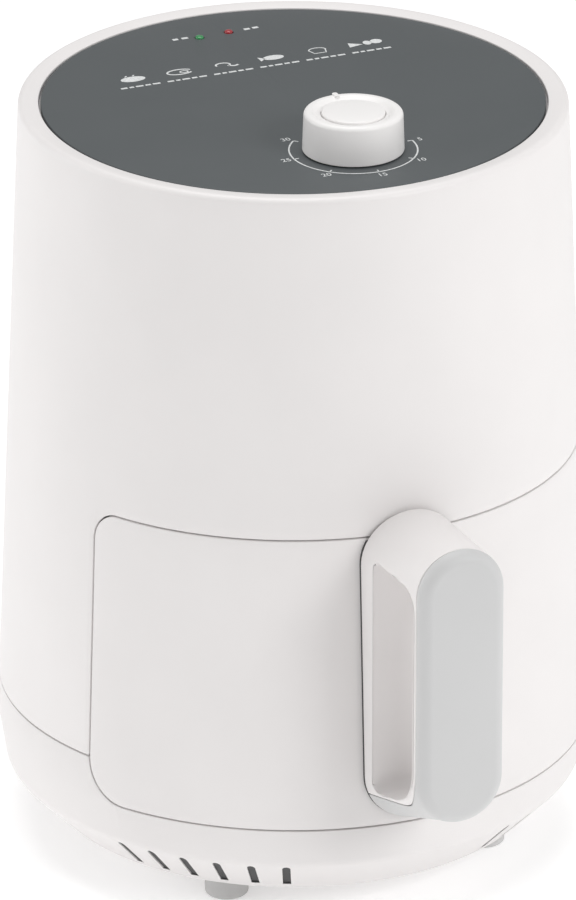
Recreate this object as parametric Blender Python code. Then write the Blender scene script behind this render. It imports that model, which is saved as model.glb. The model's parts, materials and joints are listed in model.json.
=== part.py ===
"""A small drum-shaped air fryer with a pull-out drawer, in metres, +Z up.

The floor is z = 0 and the handle points along -Y. The origin is on the floor, under the middle of
the outside box. Everything is laid out from the drum's own axis, which the handle's reach puts
a little behind the origin.
"""

import math

import bmesh
import bpy
from mathutils import Matrix, Vector

# Overall sizes
BODY_HEIGHT = 0.274  # floor to the top of the rim
BODY_RADIUS = 0.105  # at the seam between shell and base, where the drum is widest
RIM_DRAW_IN = 0.0092  # how much narrower the rim is than BODY_RADIUS
HANDLE_REACH = 0.0425  # how far the handle stands out past BODY_RADIUS

# Walls and gaps
WALL = 0.0025
SHEET = 0.001  # pressed steel
FIT = 0.0003  # between fixed pieces that touch
SEAM = 0.0006  # the open line between outer covers
RUN = 0.001  # between pieces that move past each other

# Shell, base and drawer front
FLOOR_CLEARANCE = 0.0105
SEAM_HEIGHT = 0.0563
HEAD_HEIGHT = 0.1247  # from the drawer's top edge to the rim: heater, fan, motor and timer
RIM_EDGE = 0.002
RIM_WIDTH = 0.0071
RIM_DIP = 0.001  # how far the rim's inner edge lies below its outer one
BASE_WALL_FOOT = 0.041  # where the base's straight side starts to draw in
BASE_SHOULDER = (0.0022, 0.0262)  # set-in from BODY_RADIUS, height
BASE_FOOT_SET_IN = 0.0176
SHOULDER_BEND = 0.006
DRAWER_FOOT = 0.0408
DRAWER_HALF_ANGLE = math.radians(66.1)
DRAWER_TOP_CORNER = 0.0105
DRAWER_FRONT_WALL = 0.003

# Vents and feet
SLOT_WIDTH = 0.0029
SLOT_TOP = 0.0252
SLOT_PITCH = math.radians(7.05)
SLOT_START = math.radians(24.7)
SLOTS_PER_GROUP = 6
SLOT_DEPTH = 0.021  # from BODY_RADIUS inwards
FOOT_RADIUS = 0.00775
FOOT_SET_IN = 0.0145  # from the underside's edge to a foot's centre
FOOT_TURN = math.radians(1.2)  # the feet are clocked a little from the handle
FOOT_SPREAD = math.radians(43.3)  # from the middle of the front or back to a foot
OUTLET_HALF_ANGLE = math.radians(22)
OUTLET_DROP = 0.040  # from the rim down to the outlet's top edge
OUTLET_HEIGHT = 0.038
OUTLET_SLOTS = 5
OUTLET_BAR = 0.0026

# Top panel and controls
PANEL_WALL = 0.0025
PANEL_SINK = 0.0014
PANEL_GAP = 0.0008
PANEL_LEDGE = 0.004
KNOB_RADIUS = 0.0176
KNOB_TOP_RADIUS = 0.0171
KNOB_HEIGHT = 0.0146
KNOB_INSET = 0.0359  # from the panel's edge to the knob's axis
KNOB_WALL = 0.002
CAP_RADIUS = 0.011
CAP_DEPTH = 0.0022
DISH_RADIUS = 0.0143
POINTER = (0.0134, 0.0168, 0.0018, 0.0004)  # inner end, outer end, width, stand
SPINDLE_RADIUS = 0.003
LAMP_RADIUS = 0.0015
LAMP_DEPTH = 0.006
LAMPS = {"power_lamp": (-0.0070, 0.0203), "heat_lamp": (0.0046, 0.0193)}  # x, set-in from the edge
LAMP_HOLDER = (0.013, 0.006, 0.007)  # half its width, half its depth, height

# Cooking chamber and pan
INSULATION = 0.0098  # air between shell and liner
PAN_SIDE_GAP = 0.004
PAN_RIM = 0.002
PAN_WALL = 0.0018
PAN_FLOOR_HEIGHT = 0.0463
PAN_TOP_DROP = 0.0055  # pan rim below the drawer's top edge
PAN_CORNER = 0.009
PAN_BRACKET_SET_IN = 0.020  # from the drawer front's foot
PAN_BRACKET_HALF_ANGLE = math.radians(18)
LINER_FLOOR = 0.0393
RAIL_HALF_WIDTH = 0.003
RAIL_SPREAD, RAIL_REACH = 0.55, 0.75  # as shares of the pan's and the liner's radius
PLATE_LIFT_OFF = 0.0065  # plate above the pan's floor
PLATE_WALL = 0.0015
PLATE_GAP = 0.0016
PLATE_HOLE = 0.0042
PLATE_SIZE = 0.0762  # the plate radius that PLATE_RINGS are given for
PLATE_RINGS = ((0.024, 6), (0.043, 10), (0.061, 14))  # ring radius, holes in it
PAD_RADIUS = 0.004

# Heater, fan and motor, as heights above the drawer's top edge
GUARD_HEIGHT = 0.005
GUARD_WALL = 0.0012
ELEMENT_HEIGHT = 0.0125
ELEMENT_TUBE = 0.0032
ELEMENT_SET_IN = 0.0235  # from the liner to the outer loop
ELEMENT_PITCH = 0.014
ELEMENT_LEG_TOP = 0.045
FAN_HEIGHT = 0.0190
FAN_DEPTH = 0.0105
LINER_TOP = 0.0335
REFLECTOR_RISE = 0.003
BRACKET_HEIGHT = 0.0480
BRACKET_SPAN = 0.062
BRACKET_WIDTH = 0.026
BRACKET_FOOT = 0.012
MOTOR_RADIUS = 0.025
MOTOR_LENGTH = 0.0225
COOLER_RADIUS = 0.030
COOLER_DEPTH = 0.007
VANE_WALL = 0.0009
SHAFT_RADIUS = 0.003

# Protection on the reflector
THERMOSTAT = (0.008, 0.0065, 0.003, 0.009)  # radius of its brim and can, height of each
FUSE = (0.002, 0.008)  # radius, half its length

# Timer
TIMER_SIDE = 0.036
TIMER_DEPTH = 0.019
BELL_RADIUS = 0.015
BELL_DEPTH = 0.0065
BELL_STUD = 0.003

# Handle: half its width, its ends' centres from the drawer's edges, its arms
HANDLE_HALF_WIDTH = 0.016  # at its outer face
HANDLE_FLARE = 0.0022  # how much wider each side is at the drum
HANDLE_TOP_SET_IN = 0.0093
HANDLE_BOTTOM_SET_IN = 0.0204
HANDLE_TOP_RISE = 0.004
HANDLE_BOTTOM_RISE = 0.0126
HANDLE_EDGE = 0.0045  # the cover's rounded edge
HANDLE_GAP = 0.0014  # the open line between the handle and the drawer front
BOSS_RADIUS = 0.005  # where a screw pulls the handle against the drawer front
FLANGE = 0.005
GRIP_LIP = 0.0018
GRIP_BULGE = 0.0095
ARM_TOP = 0.013
ARM_BOTTOM = 0.013
ARM_SLOPE = 0.233  # how steeply the bottom arm's upper face climbs outwards
OPENING_TOP_CORNER = 0.008
OPENING_LOW_CORNER = 0.017
OPENING_NEAR_CORNER = 0.003

# Screws and switch
SCREW_RADIUS = 0.0018
SCREW_HEAD = 0.0034
SCREW_HEAD_DEPTH = 0.0022
HANDLE_SCREW_SET_IN = 0.032  # from the drawer front's edges
POST_RADIUS = 0.005
CHASSIS_WALL = 0.0025
SWITCH_HEIGHT = 0.105
SWITCH_SIZE = (0.006, 0.016, 0.020)
PLUNGER_RADIUS = 0.0014
PLUNGER_TRAVEL = 0.0015
GLAND_HEIGHT = 0.0485
GLAND_RADIUS = 0.0055
TERMINALS = (0.028, 0.014, 0.012)
TERMINAL_SET_IN = 0.034  # from the underside's edge
TERMINAL_WELL = 0.0022
TERMINAL_PITCH = 0.008

ROUND = 48  # steps round an outer cover
MIDDLE = 32
SMALL = 16
SCREW_STEPS = 8

# Worked out from the sizes above
RIM_RADIUS = BODY_RADIUS - RIM_DRAW_IN
PANEL_RADIUS = RIM_RADIUS - RIM_WIDTH - PANEL_GAP
TAPER = (BODY_RADIUS - RIM_RADIUS) / (BODY_HEIGHT - SEAM_HEIGHT)
DRAWER_TOP = BODY_HEIGHT - HEAD_HEIGHT
DRAWER_BOTTOM_CORNER = SEAM_HEIGHT - DRAWER_FOOT - SEAM / 2
PANEL_TOP = BODY_HEIGHT - PANEL_SINK
PANEL_BOTTOM = PANEL_TOP - PANEL_WALL
UNDERSIDE_RADIUS = BODY_RADIUS - BASE_FOOT_SET_IN
BASE_FLOOR = FLOOR_CLEARANCE + WALL
AXIS_Y = HANDLE_REACH / 2


def drum_radius(z):
    """The drum's outside radius at a height, from the base's straight side up."""
    return BODY_RADIUS - max(z - SEAM_HEIGHT, 0) * TAPER


LINER_OUTER = drum_radius(DRAWER_TOP) - WALL - INSULATION
LINER_INNER = LINER_OUTER - SHEET
PAN_RIM_RADIUS = LINER_INNER - PAN_SIDE_GAP
PAN_RADIUS = PAN_RIM_RADIUS - PAN_RIM
PAN_INNER = PAN_RADIUS - PAN_WALL
PAN_TOP = DRAWER_TOP - PAN_TOP_DROP
MOUTH_HALF_WIDTH = PAN_RIM_RADIUS + RUN
PLATE_RADIUS = PAN_INNER - PLATE_GAP
PLATE_BOTTOM = PAN_FLOOR_HEIGHT + PAN_WALL + PLATE_LIFT_OFF
ELEMENT_OUTER = LINER_INNER - ELEMENT_SET_IN
ELEMENT_INNER = ELEMENT_OUTER - ELEMENT_PITCH
FAN_RADIUS = ELEMENT_INNER - ELEMENT_TUBE - 4 * RUN
KNOB_Y = -(PANEL_RADIUS - KNOB_INSET)
REFLECTOR_TOP = DRAWER_TOP + LINER_TOP + FIT + REFLECTOR_RISE + SHEET
BRACKET_TOP = DRAWER_TOP + BRACKET_HEIGHT
MOTOR_BOTTOM = BRACKET_TOP + FIT
MOTOR_TOP = MOTOR_BOTTOM + MOTOR_LENGTH
COOLER_BOTTOM = MOTOR_TOP + 3 * RUN
TIMER_TOP = PANEL_BOTTOM - FIT
TIMER_BOTTOM = TIMER_TOP - TIMER_DEPTH
HANDLE_FACE = BODY_RADIUS + HANDLE_REACH - HANDLE_EDGE
HANDLE_ROOT_HALF_WIDTH = HANDLE_HALF_WIDTH + HANDLE_FLARE
HANDLE_TOP_CENTRE = DRAWER_TOP - HANDLE_TOP_SET_IN
HANDLE_BOTTOM_CENTRE = DRAWER_FOOT + HANDLE_BOTTOM_SET_IN


def clear_scene():
    for item in list(bpy.data.objects):
        bpy.data.objects.remove(item)


def finish(name, colour, roughness, metallic=0.0):
    made = bpy.data.materials.new(name)
    made.use_nodes = True
    shader = made.node_tree.nodes["Principled BSDF"]
    shader.inputs["Base Color"].default_value = (*colour, 1.0)
    shader.inputs["Roughness"].default_value = roughness
    shader.inputs["Metallic"].default_value = metallic
    return made


def anchor(name, location, parent=None):
    """An empty that the pieces of one body hang from, on that body's joint axis."""
    made = bpy.data.objects.new(name, None)
    made.location = location
    made.parent = parent
    bpy.context.collection.objects.link(made)
    return made


def piece(name, bm, material, parent, location=(0, 0, 0)):
    """A named object from a bmesh, smooth except at its corners."""
    mesh = bpy.data.meshes.new(name)
    bm.to_mesh(mesh)
    bm.free()
    mesh.shade_smooth()
    mesh.set_sharp_from_angle(angle=math.radians(32))
    mesh.materials.append(material)
    made = bpy.data.objects.new(name, mesh)
    made.parent = parent
    made.location = location
    bpy.context.collection.objects.link(made)
    return made


def helper(name, bm, parent, location=(0, 0, 0)):
    """A shape that only cuts or adds to another, so it isn't part of the object."""
    mesh = bpy.data.meshes.new(name)
    bm.to_mesh(mesh)
    bm.free()
    made = bpy.data.objects.new(name, mesh)
    made.parent = parent
    made.location = location
    made.hide_render = True
    made.display_type = "WIRE"
    bpy.context.collection.objects.link(made)
    return made


def combine(target, other, operation="DIFFERENCE"):
    step = target.modifiers.new(other.name, "BOOLEAN")
    step.operation = operation
    step.solver = "EXACT"
    step.object = other


def skin(rings, closed=False):
    """A solid that joins each ring of points to the next, with flat ends unless it closes on itself."""
    bm = bmesh.new()
    loops = [[bm.verts.new(point) for point in ring] for ring in rings]
    following = loops[1:] + loops[:1] if closed else loops[1:]
    for first, second in zip(loops, following):
        for i in range(len(first)):
            j = (i + 1) % len(first)
            bm.faces.new((first[i], first[j], second[j], second[i]))
    if not closed:
        bm.faces.new(loops[0])
        bm.faces.new(loops[-1])
    bmesh.ops.remove_doubles(bm, verts=bm.verts, dist=1e-7)
    bmesh.ops.recalc_face_normals(bm, faces=bm.faces)
    return bm


def around(radius, angle, z):
    """A point at a radius and height, where angle 0 is the front and +90 degrees is +X."""
    return Vector((radius * math.sin(angle), -radius * math.cos(angle), z))


def turned(profile, steps):
    """A solid of revolution about Z. The profile is a closed outline of (radius, z)."""
    turns = [2 * math.pi * k / steps for k in range(steps)]
    return skin([[around(r, turn, z) for r, z in profile] for turn in turns], closed=True)


def rounded(outline, steps=2):
    """A closed outline's points, with an arc in place of each corner that names a radius."""
    points = []
    for i, corner in enumerate(outline):
        here = Vector(corner[:2])
        if len(corner) < 3:
            points.append(tuple(here))
            continue
        before = (Vector(outline[i - 1][:2]) - here).normalized()
        after = (Vector(outline[(i + 1) % len(outline)][:2]) - here).normalized()
        half = before.angle(after) / 2
        centre = here + (before + after).normalized() * corner[2] / math.sin(half)
        first = here + before * corner[2] / math.tan(half) - centre
        last = here + after * corner[2] / math.tan(half) - centre
        start = math.atan2(first.y, first.x)
        sweep = (math.atan2(last.y, last.x) - start + math.pi) % (2 * math.pi) - math.pi
        for k in range(steps + 1):
            angle = start + sweep * k / steps
            outward = Vector((math.cos(angle), math.sin(angle)))
            points.append(tuple(centre + corner[2] * outward))
    return points


def prism(outline, axis, low, high):
    """An outline pushed along X, Y or Z. Its points are the other two coordinates, in order."""
    def place(point, along):
        values = list(point)
        values.insert("XYZ".index(axis), along)
        return values
    return skin([[place(point, along) for point in outline] for along in (low, high)])


def block(low, high):
    outline = ((low[0], low[1]), (high[0], low[1]), (high[0], high[1]), (low[0], high[1]))
    return prism(outline, "Z", low[2], high[2])


def soft_block(low, high, corner):
    """A block with its upright corners rounded."""
    corners = ((low[0], low[1]), (high[0], low[1]), (high[0], high[1]), (low[0], high[1]))
    return prism(rounded([(*place, corner) for place in corners], 3), "Z", low[2], high[2])


def rod(radius, low, high, steps=SMALL):
    return turned([(0, low), (radius, low), (radius, high), (0, high)], steps)


def tube(inner, outer, low, high, steps=SMALL):
    return turned([(inner, low), (outer, low), (outer, high), (inner, high)], steps)


def aimed(bm, start, direction):
    """Turns a solid made along Z to lie along a direction, with its z = 0 at the start."""
    turn = Vector((0, 0, 1)).rotation_difference(Vector(direction)).to_matrix().to_4x4()
    turn.translation = Vector(start)
    bmesh.ops.transform(bm, matrix=turn, verts=bm.verts)
    return bm


def merged(solids):
    """Several separate solids in one mesh, for a helper that cuts or adds them all."""
    whole = bmesh.new()
    for solid in solids:
        mesh = bpy.data.meshes.new("loose")
        solid.to_mesh(mesh)
        solid.free()
        whole.from_mesh(mesh)
        bpy.data.meshes.remove(mesh)
    return whole


def set_back(across, half_width, corner):
    """How far a panel's edge is set back by its round corner, at a distance from the middle."""
    into = abs(across) - (half_width - corner)
    return corner - math.sqrt(max(corner**2 - into**2, 0)) if into > 0 else 0.0


def drawer_panel(inner_wall, outer_wall, margin):
    """The drawer front's shape between two set-ins from the drum's face, grown by a margin all round."""
    half_width = DRAWER_HALF_ANGLE * BODY_RADIUS + margin
    low, high = DRAWER_FOOT - margin, DRAWER_TOP + margin
    low_corner, high_corner = DRAWER_BOTTOM_CORNER + margin, DRAWER_TOP_CORNER + margin
    straight = half_width - max(low_corner, high_corner)
    sides = [straight + (half_width - straight) * math.sin(math.pi / 2 * k / 6) for k in range(1, 7)]
    flats = 2 * math.ceil(straight / math.sqrt(8 * BODY_RADIUS * FIT))  # each within FIT of the curve
    middle = [straight * (2 * k / flats - 1) for k in range(flats + 1)]
    columns = [-side for side in reversed(sides)] + middle + sides
    rings = []
    for across in columns:
        angle = across / BODY_RADIUS
        z0 = low + set_back(across, half_width, low_corner)
        z1 = high - set_back(across, half_width, high_corner)
        heights = (z0, SEAM_HEIGHT, z1)
        outside = [around(drum_radius(z) - outer_wall, angle, z) for z in heights]
        inside = [around(drum_radius(z) - inner_wall, angle, z) for z in reversed(heights)]
        rings.append(outside + inside)
    return skin(rings)


def wall_sector(inner_wall, outer_wall, low, high, half_angle, steps):
    """A strip of the drum's wall, from -half_angle to half_angle, between two set-ins from its face."""
    rings = []
    for k in range(steps + 1):
        angle = half_angle * (2 * k / steps - 1)
        profile = ((inner_wall, low), (outer_wall, low), (outer_wall, high), (inner_wall, high))
        rings.append([around(drum_radius(z) - wall, angle, z) for wall, z in profile])
    return skin(rings)


def screw(length):
    """A pan-head screw along Z, with its head's underside at z = 0 and its shank below."""
    head = [(SCREW_HEAD, 0), (SCREW_HEAD * 0.75, SCREW_HEAD_DEPTH), (0, SCREW_HEAD_DEPTH)]
    return turned([(0, -length), (SCREW_RADIUS, -length), (SCREW_RADIUS, 0)] + head, SCREW_STEPS)


clear_scene()
WHITE = finish("white_plastic", (0.82, 0.80, 0.79), 0.35)
LIGHT_GREY = finish("light_grey_plastic", (0.60, 0.60, 0.60), 0.5)
SLATE = finish("slate_panel", (0.085, 0.095, 0.099), 0.45)
BLACK = finish("black_plastic", (0.03, 0.03, 0.03), 0.5)
CERAMIC = finish("ceramic", (0.75, 0.72, 0.66), 0.6)
COATED = finish("dark_coating", (0.05, 0.05, 0.055), 0.4, 0.3)
STEEL = finish("bare_steel", (0.55, 0.55, 0.56), 0.35, 1.0)
ELEMENT_STEEL = finish("element_steel", (0.16, 0.15, 0.14), 0.5, 0.9)
RUBBER = finish("grey_rubber", (0.50, 0.50, 0.50), 0.8)
SILICONE = finish("black_silicone", (0.04, 0.04, 0.04), 0.7)
GREEN = finish("green_lens", (0.02, 0.22, 0.06), 0.2)
RED = finish("red_lens", (0.30, 0.012, 0.016), 0.2)
BRASS = finish("bell_metal", (0.62, 0.50, 0.25), 0.3, 1.0)

FRYER = anchor("fryer", (0, AXIS_Y, 0))
DRAWER = anchor("drawer_slide_axis", (0, 0, 0), FRYER)
PLATE = anchor("plate_lift_axis", (0, 0, 0), DRAWER)
TIMER = anchor("timer_turn_axis", (0, KNOB_Y, PANEL_TOP), FRYER)
FAN = anchor("fan_spin_axis", (0, 0, DRAWER_TOP), FRYER)


def make_outer_shell():
    low = SEAM_HEIGHT + SEAM / 2
    ledge = PANEL_BOTTOM - FIT
    inner_top = ledge - WALL - PANEL_LEDGE
    profile = rounded((
        (drum_radius(low), low),
        (RIM_RADIUS, BODY_HEIGHT, RIM_EDGE),
        (PANEL_RADIUS + PANEL_GAP, BODY_HEIGHT - RIM_DIP, RIM_EDGE / 4),
        (PANEL_RADIUS + PANEL_GAP, ledge),
        (PANEL_RADIUS - PANEL_LEDGE, ledge),
        (PANEL_RADIUS - PANEL_LEDGE, ledge - WALL),
        (drum_radius(inner_top) - WALL, inner_top),
        (drum_radius(low) - WALL, low),
    ))
    shell = piece("outer_shell", turned(profile, ROUND), WHITE, FRYER)
    combine(shell, DRAWER_OPENING)
    high = BODY_HEIGHT - OUTLET_DROP
    outlet = wall_sector(2 * WALL, -WALL, high - OUTLET_HEIGHT, high, OUTLET_HALF_ANGLE, 8)
    opening = helper("outlet_opening", outlet, FRYER)
    opening.rotation_euler.z = math.pi
    combine(shell, opening)


def make_outlet_grille():
    """A slotted panel for the warm air at the back."""
    low = BODY_HEIGHT - OUTLET_DROP - OUTLET_HEIGHT + FIT
    high = BODY_HEIGHT - OUTLET_DROP - FIT
    half_angle = OUTLET_HALF_ANGLE - FIT / RIM_RADIUS
    strip = wall_sector(WALL, FIT, low, high, half_angle, 8)
    grille = piece("outlet_grille", strip, LIGHT_GREY, FRYER)
    grille.rotation_euler.z = math.pi
    pitch = (high - low - OUTLET_BAR) / OUTLET_SLOTS
    slot_angle = half_angle - 2 * OUTLET_BAR / RIM_RADIUS
    slots = []
    for row in range(OUTLET_SLOTS):
        start = low + OUTLET_BAR + row * pitch
        slots.append(wall_sector(2 * WALL, -WALL, start, start + pitch - OUTLET_BAR, slot_angle, 8))
    tool = helper("outlet_slots", merged(slots), FRYER)
    tool.rotation_euler.z = math.pi
    combine(grille, tool)


def base_outline(set_in):
    """The base's outside from its seam down to its underside, set in by a wall."""
    return [
        (BODY_RADIUS - set_in, SEAM_HEIGHT - SEAM / 2),
        (BODY_RADIUS - set_in, BASE_WALL_FOOT),
        (BODY_RADIUS - BASE_SHOULDER[0] - set_in, BASE_SHOULDER[1], SHOULDER_BEND),
        (UNDERSIDE_RADIUS - set_in / 2, FLOOR_CLEARANCE + set_in),
    ]


def make_base():
    outside = base_outline(0) + [(0, FLOOR_CLEARANCE)]
    inside = [(0, BASE_FLOOR)] + list(reversed(base_outline(WALL)))
    base = piece("base_shell", turned(rounded(outside + inside), ROUND), WHITE, FRYER)
    combine(base, DRAWER_OPENING)
    half = SLOT_WIDTH / 2
    outline = [(-half, BASE_FLOOR), (half, BASE_FLOOR)]
    for k in range(7):
        angle = math.pi * k / 6
        outline.append((half * math.cos(angle), SLOT_TOP - half + half * math.sin(angle)))
    slots = []
    for side in (0, math.pi):
        for mirror in (-1, 1):
            for k in range(SLOTS_PER_GROUP):
                slot = prism(outline, "Y", -BODY_RADIUS - WALL, -BODY_RADIUS + SLOT_DEPTH)
                turn = side + mirror * (SLOT_START + k * SLOT_PITCH)
                bmesh.ops.rotate(slot, verts=slot.verts, matrix=rotation_z(turn))
                slots.append(slot)
    combine(base, helper("vent_slots", merged(slots), FRYER))
    holes = []
    for x, y in POSTS:
        hole = rod(SCREW_RADIUS + FIT, FLOOR_CLEARANCE - WALL, BASE_FLOOR + WALL, SCREW_STEPS)
        bmesh.ops.translate(hole, verts=hole.verts, vec=(x, y, 0))
        holes.append(hole)
    combine(base, helper("base_screw_holes", merged(holes), FRYER))
    start = (0, BODY_RADIUS - 2 * WALL, GLAND_HEIGHT)
    inlet = aimed(rod(GLAND_RADIUS + FIT, -WALL, 3 * WALL), start, (0, 1, 0))
    combine(base, helper("gland_hole", inlet, FRYER))


def rotation_z(angle):
    """A turn about +Z that takes the front towards +X for a positive angle."""
    return Matrix.Rotation(angle, 3, "Z")


def ring_of_four(radius):
    """Four places (x, y) under the base, in line with the feet."""
    turns = (FOOT_SPREAD, math.pi - FOOT_SPREAD, math.pi + FOOT_SPREAD, -FOOT_SPREAD)
    return [tuple(around(radius, FOOT_TURN + turn, 0))[:2] for turn in turns]


POSTS = ring_of_four(UNDERSIDE_RADIUS - 2 * FOOT_SET_IN - FOOT_RADIUS)


def make_feet():
    top = FLOOR_CLEARANCE - FIT
    profile = rounded(((0, 0), (FOOT_RADIUS, 0, 0.0012), (FOOT_RADIUS, top), (0, top)), 1)
    for number, (x, y) in enumerate(ring_of_four(UNDERSIDE_RADIUS - FOOT_SET_IN), 1):
        piece(f"foot_{number}", turned(profile, SMALL), RUBBER, FRYER, (x, y, 0))


def make_chassis():
    """The plate that holds the chamber, on posts that the base screws pull down on the base."""
    top = LINER_FLOOR - FIT
    plate = rod(LINER_OUTER, top - CHASSIS_WALL, top, MIDDLE)
    chassis = piece("chassis_plate", plate, BLACK, FRYER)
    posts, holes = [], []
    for x, y in POSTS:
        post = rod(POST_RADIUS, BASE_FLOOR + FIT, top - CHASSIS_WALL / 2, 12)
        hole = rod(SCREW_RADIUS + FIT, BASE_FLOOR - WALL, BASE_FLOOR + 4 * WALL, SCREW_STEPS)
        bmesh.ops.translate(post, verts=post.verts, vec=(x, y, 0))
        bmesh.ops.translate(hole, verts=hole.verts, vec=(x, y, 0))
        posts.append(post)
        holes.append(hole)
    combine(chassis, helper("chassis_posts", merged(posts), FRYER), "UNION")
    combine(chassis, helper("chassis_post_holes", merged(holes), FRYER))
    for number, (x, y) in enumerate(POSTS, 1):
        head_down = aimed(screw(WALL + 3.5 * WALL), (0, 0, 0), (0, 0, -1))
        piece(f"base_screw_{number}", head_down, STEEL, FRYER, (x, y, FLOOR_CLEARANCE - FIT))


def make_inlet():
    """The grommet that the mains cord would pass through, and the block its wires would meet."""
    bush = turned(rounded((
        (GLAND_RADIUS - 2 * RUN, 0), (GLAND_RADIUS + WALL, 0), (GLAND_RADIUS + WALL, 0.8 * WALL),
        (GLAND_RADIUS, 0.8 * WALL), (GLAND_RADIUS, 2.1 * WALL, RUN / 2),
        (GLAND_RADIUS - 2 * RUN, 2.1 * WALL),
    )), SMALL)
    inside = math.sqrt((BODY_RADIUS - WALL) ** 2 - (GLAND_RADIUS + WALL) ** 2)
    start = inside - 0.8 * WALL - 2 * FIT
    piece("cord_gland", aimed(bush, (0, start, GLAND_HEIGHT), (0, 1, 0)), BLACK, FRYER)
    size = Vector(TERMINALS)
    low = Vector((-size.x / 2, UNDERSIDE_RADIUS - TERMINAL_SET_IN, BASE_FLOOR + FIT))
    terminals = piece("terminal_block", soft_block(low, low + size, RUN), CERAMIC, FRYER)
    wells = []
    for column in (-1, 0, 1):
        well = rod(TERMINAL_WELL, low.z + size.z / 2, low.z + size.z + WALL, 12)
        place = (column * TERMINAL_PITCH, low.y + size.y / 2, 0)
        bmesh.ops.translate(well, verts=well.verts, vec=place)
        wells.append(well)
    combine(terminals, helper("terminal_wells", merged(wells), FRYER))


def make_panel():
    edge = PANEL_RADIUS
    profile = rounded((
        (0, PANEL_BOTTOM), (edge, PANEL_BOTTOM), (edge, PANEL_TOP, RIM_EDGE / 4), (0, PANEL_TOP),
    ))
    panel = piece("top_panel", turned(profile, ROUND), SLATE, FRYER)
    spindle_hole = rod(SPINDLE_RADIUS + RUN, PANEL_BOTTOM - WALL, PANEL_TOP + WALL)
    bmesh.ops.translate(spindle_hole, verts=spindle_hole.verts, vec=(0, KNOB_Y, 0))
    holes = [spindle_hole]
    for x, set_in in LAMPS.values():
        hole = rod(LAMP_RADIUS + FIT, PANEL_BOTTOM - WALL, PANEL_TOP + WALL, 12)
        bmesh.ops.translate(hole, verts=hole.verts, vec=(x, PANEL_RADIUS - set_in, 0))
        holes.append(hole)
    combine(panel, helper("panel_holes", merged(holes), FRYER))


def make_lamps():
    depth = LAMP_DEPTH
    dome = [(LAMP_RADIUS, FIT), (LAMP_RADIUS * 0.6, 2 * FIT), (0, 2.5 * FIT)]
    profile = [(0, -depth), (LAMP_RADIUS, -depth)] + dome
    middle_x = sum(x for x, _ in LAMPS.values()) / len(LAMPS)
    middle_y = PANEL_RADIUS - sum(set_in for _, set_in in LAMPS.values()) / len(LAMPS)
    top = PANEL_BOTTOM - FIT
    across, along, tall = LAMP_HOLDER
    low = (middle_x - across, middle_y - along, top - tall)
    high = (middle_x + across, middle_y + along, top)
    holder = piece("lamp_holder", soft_block(low, high, LAMP_RADIUS), BLACK, FRYER)
    wells = []
    for (name, (x, set_in)), colour in zip(LAMPS.items(), (GREEN, RED)):
        piece(name, turned(profile, 12), colour, FRYER, (x, PANEL_RADIUS - set_in, PANEL_TOP))
        well = rod(LAMP_RADIUS + FIT, PANEL_TOP - depth - FIT, PANEL_TOP, 12)
        bmesh.ops.translate(well, verts=well.verts, vec=(x, PANEL_RADIUS - set_in, 0))
        wells.append(well)
    combine(holder, helper("lamp_wells", merged(wells), FRYER))


def make_timer():
    """The clockwork timer under the panel, and the knob, cap and spindle that turn on it."""
    bore = SPINDLE_RADIUS + FIT
    spindle_low = TIMER_TOP - TIMER_DEPTH / 2
    half = TIMER_SIDE / 2
    low, high = (-half, KNOB_Y - half, TIMER_BOTTOM), (half, KNOB_Y + half, TIMER_TOP)
    case = piece("timer_case", soft_block(low, high, BELL_STUD), BLACK, FRYER)
    socket = rod(SPINDLE_RADIUS + RUN, spindle_low - FIT, TIMER_TOP + RUN)
    combine(case, helper("timer_socket", socket, FRYER, (0, KNOB_Y, 0)))
    bell_top = TIMER_BOTTOM - FIT
    bell_low = bell_top - BELL_DEPTH
    roof = bell_top - 2 * RUN
    bell = rounded((
        (0, bell_top), (BELL_STUD, bell_top), (BELL_STUD, roof), (BELL_RADIUS, roof, BELL_STUD),
        (BELL_RADIUS, bell_low), (BELL_RADIUS - RUN, bell_low),
        (BELL_RADIUS - RUN, roof - RUN, BELL_STUD - RUN), (0, roof - RUN),
    ))
    piece("timer_bell", turned(bell, SMALL), BRASS, FRYER, (0, KNOB_Y, 0))
    top = KNOB_HEIGHT
    skirt = 0.5 * RUN
    roof = top - CAP_DEPTH - KNOB_WALL
    knob_profile = rounded((
        (0, top - CAP_DEPTH), (CAP_RADIUS + FIT, top - CAP_DEPTH), (CAP_RADIUS + FIT, top - RUN),
        ((CAP_RADIUS + DISH_RADIUS) / 2, top - 1.2 * RUN), (DISH_RADIUS, top),
        (KNOB_TOP_RADIUS, top, KNOB_WALL), (KNOB_RADIUS, skirt), (KNOB_RADIUS - KNOB_WALL, skirt),
        (KNOB_TOP_RADIUS - KNOB_WALL, roof), (bore + KNOB_WALL, roof), (bore + KNOB_WALL, skirt),
        (bore, skirt), (bore, roof), (0, roof),
    ))
    knob = piece("timer_knob", turned(knob_profile, MIDDLE), WHITE, TIMER)
    inner, outer, width, stand = POINTER
    mark = soft_block((-width / 2, inner, top - 2 * RUN), (width / 2, outer, top + stand), width / 3)
    combine(knob, helper("knob_pointer", mark, TIMER), "UNION")
    cap_low = top - CAP_DEPTH + FIT
    cap = ((0, cap_low), (CAP_RADIUS, cap_low), (CAP_RADIUS, top - FIT, RUN / 2), (0, top))
    piece("knob_cap", turned(rounded(cap, 1), MIDDLE), WHITE, TIMER)
    spindle = rod(SPINDLE_RADIUS, spindle_low - PANEL_TOP, roof - FIT)
    piece("timer_spindle", spindle, STEEL, TIMER)


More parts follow.
